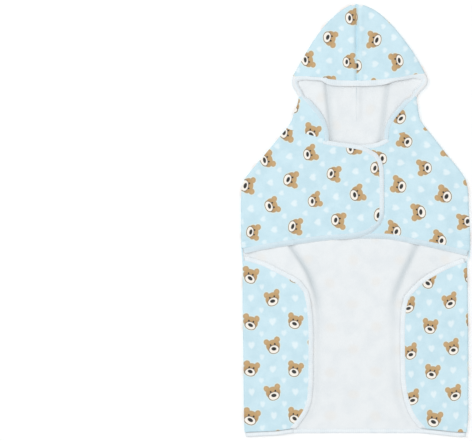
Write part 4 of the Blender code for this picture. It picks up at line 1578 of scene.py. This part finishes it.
@dataclass
class ChestFront(Piece):
    """A chest front with its binding along the hem, the free edge and the neckline."""

    side: Side
    lay: PrintLay
    crossing: tuple[float, float] = (-38.0, -21.0)
    hem_width: float = 8.0
    front_width: float = 6.5
    hem_pale: float = 0.2
    front_pale: float = 0.62
    pale_start: float = 5.0
    pale_run: float = 8.0
    hem_droop: float = 2.6
    droop_start: float = 12.0
    droop_run: float = 45.0
    shoulder_share: float = 0.42
    neckline_share: float = 0.44
    blend_share: float = 0.25
    neck_corner: tuple[float, float] = (0.4, 0.2)
    neck_tail: float = 3.0
    neck_lift: float = 0.8
    neck_lift_start: tuple[float, float] = (0.3, 0.8)
    neck_seam: float = 0.35
    neck_seam_run: float = 5.0
    neck_seam_end: float = 0.05
    neck_seam_fade: float = 8.0
    gathered: float = 34.0
    gathered_pitch: float = 1.3
    seam_inset: float = 1.5
    pitch: float = 1.9
    arc: int = 5
    ring_columns: tuple[int, int] = (10, 14)
    ring_rise: float = 36.0
    ring_rows: tuple[int, int] = (11, 17)

    @property
    def level_range(self) -> tuple[float, float]:
        """Silhouette heights of its hem and of its neck corner at the side."""
        return CHEST_HEMS[self.side][0][1], NECK_HEIGHT[self.side] + self.form.neck_lap

    def climb(self, x: Array) -> Array:
        """How far the front stands over the other one."""
        if self.side is Side.RIGHT:
            return np.zeros_like(x)
        low, high = self.crossing
        return (self.form.step + self.trim.rise) * smooth((x - low) / (high - low))

    def height(self, plan: Array, inside: Array, level: Array, u: Array, v: Array) -> Array:
        """Middle of the cloth at some plan points.

        Args:
            plan: the points.
            inside: how far they lie in from the roll.
            level: each row's silhouette height.
            u: shares in from the roll.
            v: shares up.

        Returns:
            One height for each point.
        """
        form = self.form
        z = form.upper(plan, inside, self.climb(plan[..., 0])) + form.gather(inside, level)
        high = smooth((v - self.neck_lift_start[1]) / (1 - self.neck_lift_start[1]))
        z = z + self.neck_lift * high * smooth((u - self.neck_lift_start[0]) / self.blend_share)
        length = NECK_HEIGHT[self.side] - CHEST_HEMS[self.side][0][1]
        seam = smooth(1 - (1 - v) * length / self.neck_seam_run)
        end = 1 - smooth((u - self.shoulder_share + self.neck_seam_end) / self.neck_seam_end)
        return z - self.neck_seam * seam * end * smooth(inside / self.neck_seam_fade)

    def surface(self, u: Array, levels: Array, arc: int) -> Array:
        """Middle surface.

        Args:
            u: shares in from the roll, from 0 to 1, with a step between the shoulder and the neckline.
            levels: silhouette heights of the rows.
            arc: columns round the roll.

        Returns:
            Points by row and column.
        """
        form, side = self.form, self.side
        hem, front, neck = (plan_curve(table[side]) for table in (CHEST_HEMS, FREE_EDGES, NECKLINES))
        low, high = levels[0], levels[-1]
        v = (levels - low) / (high - low)
        roll = form.roll_points(side, levels, np.linspace(0.5, 1.0, arc + 1))
        start = roll[:, -1, :2].copy()
        rise = form.gather(np.zeros_like(levels), levels)
        roll[..., 2] += rise[:, None] * np.linspace(0.0, 1.0, arc + 1)[None, :]
        out, up = self.neck_corner
        corner = np.array(FACE_SIDES[side][0]) + np.array([side.value * out, up])
        shift = start[0] - hem(np.array([0.0]))[0]
        bottom = hem(u) + shift * (1 - smooth(u / self.blend_share))[:, None]
        shoulder = start[-1] + (corner - start[-1]) * (u / self.shoulder_share)[:, None]
        neckline = neck((u - self.neckline_share) / (1 - self.neckline_share))
        top = np.where((u <= self.shoulder_share + 1e-6)[:, None], shoulder, neckline)
        plan = patch(bottom, top, start, front(v), u, v)[:, 1:]
        inside = np.linalg.norm(plan - start[:, None], axis=-1)
        z = self.height(plan, inside, levels[:, None], u[None, 1:], v[:, None])
        return np.concatenate([roll, join(plan, z)], axis=1)

    def columns(self, shoulder: int, neckline: int) -> Array:
        """Shares across, split at the neck corner."""
        before = np.linspace(0.0, self.shoulder_share, shoulder + 1)
        return np.concatenate([before, np.linspace(self.neckline_share, 1.0, neckline + 1)])

    def rings(self) -> list[Ring]:
        """Stations of the binding: along the hem, up the free edge and out along the neckline."""
        low, high = self.level_range
        middle, (below, above) = low + self.ring_rise, self.ring_rows
        levels = np.concatenate([np.linspace(low, middle, below), np.linspace(middle, high, above)[1:]])
        points = self.surface(self.columns(*self.ring_columns), levels, 1)
        neck = self.ring_columns[0] + 2
        edge = np.vstack([points[0, 1:], points[1:, -1], points[-1, neck:-1][::-1]])
        inner = np.vstack([points[1, 1:], points[1:, -2], points[-2, neck:-1][::-1]])
        tail = (edge[-1] - edge[-2]) / np.linalg.norm(edge[-1] - edge[-2]) * self.neck_tail
        edge, inner = np.vstack([edge, edge[-1] + tail]), np.vstack([inner, inner[-1] + tail])
        hem_count = points.shape[1] - 2
        widths = [self.hem_width] * hem_count + [self.front_width] * (len(edge) - hem_count)
        rings = self.trim.edge_rings(edge, inner, self.side.value, widths, self.form.seam_gap)
        for count, ring in enumerate(rings):
            front = float(smooth(np.array((count - hem_count - self.pale_start) / self.pale_run)))
            ring.pale = self.hem_pale + (self.front_pale - self.hem_pale) * front
            run = abs(ring.centre[0] - rings[0].centre[0])
            along = float(smooth(np.array((run - self.droop_start) / self.droop_run))) * (1 - front)
            ring.droop += (self.hem_droop - ring.droop) * along
        return rings

    def build(self) -> Sewn:
        """Build the front, its binding and its stitches."""
        low, high = self.level_range
        middle = low + self.gathered
        width = abs(CHEST_HEMS[self.side][0][0] - CHEST_HEMS[self.side][-1][0])
        count = round(width / self.pitch)
        u = self.columns(round(count * self.shoulder_share), round(count * (1 - self.neckline_share)))
        levels = np.concatenate([
            spans(low, middle, self.gathered_pitch), spans(middle, high, self.pitch)[1:],
        ])
        points = self.surface(u, levels, self.arc)
        name = self.side.label
        item = self.shell(f"chest_cloth_{name}", points, self.lay, flip=self.side is Side.RIGHT)
        names = (f"chest_trim_{name}", f"chest_binding_{name}", f"chest_stitches_{name}")
        trims = self.bind(names, self.rings(), self.seam_inset)
        below = ("back_cloth",) if self.side is Side.RIGHT else ("back_cloth", "chest_cloth_right")
        return Sewn(item, f"chest_front_{name}", points, None, below, trims)


@dataclass
class HoodHalf(Piece):
    """Half of the hood: one cut that runs from the back seam round the side to the front."""

    side: Side
    lay: PrintLay
    cheek_lay: PrintLay
    back_lay: PrintLay
    back_folds: tuple[Fold, ...] = ()
    seam_x: float = 1.5
    seam_foot: float = 459.0
    wing_foot: float = 510.0
    wing_reach: float = 13.0
    top_height: float = 648.0
    point_height: float = 649.2
    straighten: int = 6
    side_share: float = 0.8
    corner_share: float = 0.1
    lip_share: float = 1 / 7
    brow_lift: float = 2.6
    lift_run: float = 40.0
    lift_fade: float = 105.0
    # how much painted shade the hood lining's folds add to the crease mask
    fold_shade: float = 0.12
    seam_dip: float = 3.0
    seam_puff: float = 1.2
    seam_reach: float = 4.2
    seam_place: float = 1.5
    seam_sharp: float = 1.9
    seam_fade: float = 12.0
    tail_lift: float = 0.5
    tail_width: float = 5.5
    cheek_width: float = 6.5
    wing_width: float = 4.0
    brow_widths: tuple[float, float] = (5.0, 8.5)
    brow_middle: float = 38.0
    brow_taper: float = 16.0
    tip: tuple[float, float] = (638.0, 3.2)
    tip_share: float = 0.5
    width: float = 96.0
    pitch: float = 1.9
    arc: int = 8
    rim_back: int = 4
    rim_arc: int = 2
    rim_front: int = 7
    rim_cheek: int = 9
    rim_step: float = 1 / 11

    def back(self, seam: Array, foot: Array, neck_pull: Array, count: int) -> Array:
        """Points across the back of the hood, from its centre seam out to the side roll.

        Args:
            seam: each row's plan point on the seam.
            foot: each row's plan point where the roll starts.
            neck_pull: how far each row follows the neck seam.
            count: columns.

        Returns:
            Points by row and column.
        """
        share = np.linspace(0.0, 1.0, count + 1)[:-1]
        plan = seam[:, None] * (1 - share[None, :, None]) + foot[:, None] * share[None, :, None]
        neck = self.form.edge_height("neck", plan[..., 0])
        at_side = smooth((share - self.side_share) / (1 - self.side_share))[None, :]
        plan[..., 1] += (neck - plan[..., 1]) * neck_pull[:, None] * (1 - at_side)
        z = self.form.lower(plan) + fold_rise(self.back_folds, plan)
        return join(plan, np.maximum(z, self.form.cloth / 2))

    def front(self, top: Array, end: Array, brow_pull: Array, lift: float, shares: Array) -> Array:
        """Points across the front of the hood, from the side roll in to its cut edge or seam.

        Args:
            top: each row's plan point where the roll ends.
            end: each row's last plan point.
            brow_pull: how far each row follows the brow.
            lift: how far the front stands off the lining at its middle.
            shares: places of the columns.

        Returns:
            Points by row and column.
        """
        brow_y = self.form.edge_height("brow", np.array(self.seam_x))
        plan = top[:, None] * (1 - shares[None, :, None]) + end[:, None] * shares[None, :, None]
        brow = self.form.edge_height("brow", plan[..., 0])
        along = smooth(shares / self.corner_share)[None, :]
        plan[..., 1] += (brow - plan[..., 1]) * brow_pull[:, None] * along
        inside = np.linalg.norm(plan - top[:, None], axis=-1)
        rise = smooth(inside / self.lift_run) * (1 - smooth((plan[..., 1] - brow_y) / self.lift_fade))
        z = self.form.upper(plan, inside) + lift * rise
        if lift:
            off = np.abs(plan[..., 0] - self.seam_x) / self.seam_reach
            puff = self.seam_puff * np.exp(-((off - self.seam_place) ** 2))
            dip = self.seam_dip * np.exp(-(off * self.seam_sharp) ** 2)
            z = z + (puff - dip) * smooth(inside / self.seam_fade)
        return join(plan, z)

    def rows(self, zone: Zone, share: Array, back: int, shares: Array, arc: int) -> Array:
        """Points of a zone's rows.

        Args:
            zone: which zone.
            share: places of its rows, from 0 to 1.
            back: columns across the back.
            shares: places of the columns across the front.
            arc: columns round the roll.

        Returns:
            Points by row and column.
        """
        side, form = self.side, self.form
        brow_y = float(form.edge_height("brow", np.array(self.seam_x)))
        zero = np.zeros_like(share)
        neck_pull, brow_pull, lift = zero, zero, 0.0
        if zone is Zone.CHEEK:
            height = NECK_HEIGHT[side] + (self.wing_foot - NECK_HEIGHT[side]) * share
            back_y = self.seam_foot + (self.wing_foot - self.seam_foot) * share
            end = plan_curve(FACE_SIDES[side])(share)
            neck_pull = (1 - share) ** self.straighten
        elif zone is Zone.WING:
            height = self.wing_foot + (WING_TOP[side] - self.wing_foot) * share
            back_y = height
            end = form.silhouette(side, height) - form.outward(side, height) * self.wing_reach
        else:
            height = WING_TOP[side] + (self.top_height - WING_TOP[side]) * share
            back_y = WING_TOP[side] + (self.point_height - WING_TOP[side]) * share
            end = np.stack([zero + self.seam_x, brow_y + (self.point_height - brow_y) * share], axis=-1)
            brow_pull, lift = (1 - share) ** self.straighten, self.brow_lift
        roll = form.roll_points(side, height, np.linspace(0.0, 1.0, arc + 1))
        seam = np.stack([zero + self.seam_x, back_y], axis=-1)
        behind = self.back(seam, roll[:, 0, :2], neck_pull, back)
        front = self.front(roll[:, -1, :2], end, brow_pull, lift, shares)
        points = np.concatenate([behind, roll, front], axis=1)
        start, middle = self.tip
        close = 1 - self.tip_share * smooth((points[..., 1] - start) / (self.point_height - start))
        points[..., 2] = middle + (points[..., 2] - middle) * close
        return points

    def build(self) -> Sewn:
        """Build the half."""
        back = round(self.width / self.pitch)
        lip = np.linspace(0.0, self.lip_share, 3)[1:]
        count = round(self.width * (1 - self.lip_share) / self.pitch)
        shares = np.concatenate([lip, np.linspace(self.lip_share, 1.0, count + 1)[1:]])
        parts, kinds = [], []
        for zone, length in ZONE_LENGTHS.items():
            share = spans(0.0, 1.0, self.pitch / length)
            if zone is Zone.WING:
                share = share[1:-1]
            parts.append(self.rows(zone, share, back, shares, self.arc))
            kinds += [zone] * len(share)
        points = np.concatenate(parts, axis=0)
        top, lip_end = back + self.arc // 2, back + self.arc + len(lip)
        differ = self.cells(points[..., :2], kinds, top, lip_end)
        hollows = self.form.hollows(points[..., :2])
        # Painted shade along the folds of the hood lining, on top of the crease shade.
        for fold in self.back_folds:
            hollows = hollows + self.fold_shade * np.clip(fold.rise(points[..., :2]), 0.0, 1.0)
        hollows[:, top:] = 0.0
        name, flip = self.side.label, self.side is Side.RIGHT
        item = self.shell(
            f"hood_cloth_{name}", points, self.lay, flip=flip, differ=differ, hollows=hollows
        )
        return Sewn(item, f"hood_{name}", points, differ.keep, ("floor", "back_cloth"))

    def cells(self, plan: Array, kinds: Sequence[Zone], top: int, lip_end: int) -> Cells:
        """How the half's cells differ.

        Args:
            plan: its plan points, by row and column.
            kinds: each row's zone.
            top: the column at the outermost line of the roll.
            lip_end: the last column of the lip that the wing keeps.

        Returns:
            Cells with the cheek's print and the back's print apart.
        """
        size = (plan.shape[0] - 1, plan.shape[1] - 1)
        keep, turned = np.ones(size, bool), np.zeros(size, bool)
        cheek, behind = np.zeros(size, bool), np.zeros(size, bool)
        for row, pair in enumerate(zip(kinds, kinds[1:])):
            wing = Zone.WING in pair
            keep[row, lip_end:] = not wing
            turned[row, top:] = wing
            cheek[row, top:] = Zone.CHEEK in pair
        behind[:, :top] = True
        return Cells(keep, turned, ((cheek, self.cheek_lay.map(plan)), (behind, self.back_lay.map(plan))))

    def rim(self) -> tuple[Array, Array, list[float]]:
        """The cut edge of the half, from the neck up the cheek, round the wing and in along the brow.

        Returns:
            Its points, the points next to them further in, and the binding's widths there.
        """
        grid = (self.rim_back, np.linspace(0.0, 1.0, self.rim_front + 1)[1:], self.rim_arc)
        cheek = self.rows(Zone.CHEEK, np.linspace(0, 1, self.rim_cheek), *grid)
        heights = np.array(WING_HEIGHTS[self.side])
        wing_share = (heights - self.wing_foot) / (WING_TOP[self.side] - self.wing_foot)
        wing = self.rows(Zone.WING, wing_share, *grid)
        brow = self.rows(Zone.BROW, np.array([0.0, self.rim_step]), *grid)
        first = self.rim_back + self.rim_arc + 1
        along = cheek[0, -1:] - cheek[1, -1:]
        tail = along / np.linalg.norm(along) * RIM_TAILS[self.side] + np.array([0.0, 0.0, self.tail_lift])
        edge = np.vstack([cheek[0, -1:] + tail, cheek[:, -1], wing[:, first], brow[0, first:-1]])
        inner = np.vstack([cheek[0, -2:-1] + tail, cheek[:, -2], wing[:, first - 1], brow[1, first:-1]])
        narrow, wide = self.brow_widths
        off = np.abs(brow[0, first:-1, 0] - self.seam_x)
        outside = smooth((off - self.brow_middle) / self.brow_taper)
        widths = [self.tail_width] + [self.cheek_width] * (len(cheek) - 1)
        widths += [self.wing_width] * (len(wing) + 1)
        return edge, inner, widths + (wide + (narrow - wide) * outside).tolist()


@dataclass
class HoodRim(Piece):
    """The binding of the face opening, which runs up one cheek, over the brow and down the other."""

    halves: dict[Side, HoodHalf]
    cheek_pale: float = 0.15
    brow_pale: float = 0.72
    pale_start: float = 500.0
    pale_run: float = 12.0
    wing_droop: float = 2.4
    wing_lap: float = 0.5
    seam_inset: float = 1.4

    def rings(self) -> list[Ring]:
        """Stations all the way round."""
        edges, inners, widths = [], [], []
        for side in Side:
            edge, inner, width = self.halves[side].rim()
            if side is Side.RIGHT:
                edge, inner, width = edge[::-1], inner[::-1], width[::-1]
            edges.append(edge)
            inners.append(inner)
            widths += width
        rings = self.trim.edge_rings(np.vstack(edges), np.vstack(inners), -1, widths, self.form.seam_gap)
        drop = np.array([0.0, 0.0, self.trim.rise / 2])
        for ring, width in zip(rings, widths):
            up = float(smooth((np.array(ring.centre[1]) - self.pale_start) / self.pale_run))
            ring.pale = self.cheek_pale + (self.brow_pale - self.cheek_pale) * up
            if width == HoodHalf.wing_width:
                ring.centre = ring.centre - ring.across * self.wing_lap - drop
                ring.half_width += self.wing_lap
                ring.half_height = self.trim.cloth / 2
                ring.droop = self.wing_droop
        return rings

    def build(self) -> tuple[bpy.types.Object, bpy.types.Object]:
        """Build the binding and its stitches."""
        return self.bind(("hood_trim", "hood_rim_binding", "hood_stitches"), self.rings(), self.seam_inset)


@dataclass
class BottomHem(Piece):
    """The binding across the bottom, which takes in the back and both flaps."""

    width: float = 6.0
    lap: float = 0.5
    drop: tuple[float, float] = (1.0, 9.0)
    pale: float = 0.85
    end_share: float = 0.65
    end_run: float = 3.5
    seam_inset: float = 1.3
    pitch: float = 4.0

    def rings(self) -> list[Ring]:
        """Stations from the left end to the right one."""
        left, right = HEM_LINE[0][0], HEM_LINE[-1][0]
        flap_left, flap_right = FLAP_SIDES[Side.LEFT][0][0], FLAP_SIDES[Side.RIGHT][0][0]
        rings = []
        for x in spans(left, right, self.pitch):
            low = float(self.form.edge_height("hem", np.array(x)))
            before, after = self.form.edge_height("hem", np.array([x - 1, x + 1]))
            tilt = float(after - before) / 2
            across = np.array([-tilt, 1.0, 0.0]) / math.hypot(tilt, 1.0)
            inside = min(x - left, right - x)
            open_part = min(x - flap_left, flap_right - x) - self.drop[0]
            flap = 1 - smooth(open_part / (self.drop[1] - self.drop[0]))
            plan = np.array([x, low])
            upper = float(self.form.upper(plan, np.array(inside))) + self.form.cloth / 2
            top = self.form.cloth + (upper - self.form.cloth) * flap + self.trim.rise
            half = top / 2 * (self.end_share + (1 - self.end_share) * smooth(inside / self.end_run))
            reach = (self.width + self.lap) / 2
            centre = np.array([x, low, 0.0]) + across * reach + np.array([0.0, 0.0, float(half)])
            rings.append(Ring(centre, across, reach, float(half), self.pale))
        return rings

    def build(self) -> tuple[bpy.types.Object, bpy.types.Object]:
        """Build the hem and its stitches."""
        rings = self.rings()
        turned = [Ring(ring.centre, -ring.across, ring.half_width, ring.half_height) for ring in rings]
        return self.bind(("hem_trim", "hem_binding", "hem_stitches"), rings, self.seam_inset, turned)


# ---- the studio ----


@dataclass(frozen=True)
class Lamp:
    """A large soft light."""

    name: str
    place: tuple[float, float, float]
    size: float
    power: float

    def build(self) -> bpy.types.Object:
        """Hang it so that it faces the middle of the robe."""
        data = bpy.data.lights.new(self.name, "AREA")
        data.shape = "DISK"
        data.size = self.size
        data.energy = self.power
        item = link(bpy.data.objects.new(self.name, data))
        item.location = self.place
        item.rotation_euler = (-Vector(self.place)).to_track_quat("-Z", "Y").to_euler()
        return item


@dataclass(frozen=True)
class Studio:
    """The floor, the lights and the camera."""

    camera_place: tuple[float, float, float] = (-0.17925, -0.00025, 6.0)
    view_width: float = 0.708
    sensor: float = 36.0
    view_end: float = 50.0
    floor_size: float = 9.0
    floor_drop: float = 0.0002
    floor_tones: Rows = (tone(252, 252, 252), tone(250, 251, 252))
    floor_grain: Grain = (14.0, 2.0)
    sky: float = 0.5
    lamps: tuple[Lamp, ...] = (
        Lamp("top_light", (-0.8, 0.8, 8.0), 3.0, 250.0),
        Lamp("key_light", (-1.9, 0.9, 2.1), 1.4, 16.0),
        Lamp("fill_light", (1.9, -1.2, 2.4), 2.2, 11.0),
    )

    def build(self) -> None:
        """Set up all of it."""
        mesh = bpy.data.meshes.new("floor")
        half = self.floor_size / 2
        corners = [(-half, -half, 0), (half, -half, 0), (half, half, 0), (-half, half, 0)]
        mesh.from_pydata(corners, [], [(0, 1, 2, 3)])
        paper = Shader("pale_floor", roughness=0.9)
        grain = paper.noise(*self.floor_grain)
        paper.node_link(paper.mix(grain.ramp(0.2, 0.8), *self.floor_tones), "Base Color")
        mesh.materials.append(paper.material)
        floor = link(bpy.data.objects.new("floor", mesh))
        floor.location.z = -self.floor_drop
        world = bpy.data.worlds.new("studio")
        world.use_nodes = True
        sky = world.node_tree.nodes["Background"]
        sky.inputs["Color"].default_value = (1.0, 1.0, 1.0, 1.0)
        sky.inputs["Strength"].default_value = self.sky
        bpy.context.scene.world = world
        lights = [lamp.build() for lamp in self.lamps]
        data = bpy.data.cameras.new("camera")
        data.sensor_width = self.sensor
        data.lens = self.sensor * self.camera_place[2] / self.view_width
        data.clip_end = self.view_end
        camera = link(bpy.data.objects.new("camera", data))
        camera.location = self.camera_place
        bpy.context.scene.camera = camera
        bpy.context.scene.view_settings.view_transform = "Standard"


# ---- the whole robe ----

HOOD_LINING_FOLDS = (
    Fold(((1.0, 556.0), (2.5, 520.0), (3.5, 492.0), (2.0, 466.0)), 1.7, (9.0, 4.2), (14.0, 26.0)),
    Fold(((-24.0, 540.0), (-27.0, 505.0), (-25.0, 470.0)), 0.5, (10.0, 10.0)),
    Fold(((30.0, 538.0), (27.0, 500.0), (30.0, 466.0)), 0.5, (10.0, 10.0)),
)

LAYS = {
    "flap_left": PrintLay((1.0285, 0.0048), (-0.0071, 0.9658), (194.58, -201.67)),
    "flap_right": PrintLay((1.0637, 0.0477), (-0.0989, 0.9831), (-92.75, -186.62)),
    "chest_left": PrintLay((0.1330, -0.9639), (1.0420, 0.1006), (418.67, 95.91)),
    "chest_right": PrintLay((0.2034, 0.9895), (-0.9741, 0.1242), (-420.54, 118.13)),
    "hood_left": PrintLay((-0.0495, -1.0181), (1.0978, -0.0560), (572.27, 109.69)),
    "hood_right": PrintLay((-0.1151, 0.9371), (-1.0862, -0.0766), (-520.87, 109.37)),
    "cheek_left": PrintLay((0.9925, -0.1219), (0.1219, 0.9925), (154.30, -412.75)),
    "cheek_right": PrintLay((0.8090, 0.5878), (-0.5878, 0.8090), (-334.80, -351.00)),
    "hood_back_left": PrintLay((-0.9765, 0.2976), (0.2976, 0.9765), (-167.70, -448.66)),
    "hood_back_right": PrintLay((-1.0241, -0.2568), (-0.2568, 1.0241), (182.14, -463.67)),
    "back": PrintLay((-0.9860, 0.0), (0.0, 1.0070), (-37.30, -302.10)),
}


def main() -> None:
    """Build the robe and its studio, piece by piece."""
    logging.basicConfig(level=logging.INFO, format="%(name)s: %(message)s")
    kit = (Form(), Cloth(), BindingMaker(), StitchMaker(), Finishes.make())
    Studio().build()
    sewn = [BackPanel(*kit, LAYS["back"]).build()]
    for side in Side:
        sewn.append(BellyFlap(*kit, side, LAYS[f"flap_{side.label}"]).build())
    for side in (Side.RIGHT, Side.LEFT):
        sewn.append(ChestFront(*kit, side, LAYS[f"chest_{side.label}"]).build())
    halves = {
        side: HoodHalf(
            *kit, side, LAYS[f"hood_{side.label}"], LAYS[f"cheek_{side.label}"],
            LAYS[f"hood_back_{side.label}"], HOOD_LINING_FOLDS,
        )
        for side in Side
    }
    hood = [halves[side].build() for side in Side]
    hood[0].trims = HoodRim(*kit, halves).build()
    sewn += hood
    sewn[0].trims = BottomHem(*kit).build()
    for piece in sewn:
        piece.dress()


if __name__ == "__main__":
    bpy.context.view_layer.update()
    main()
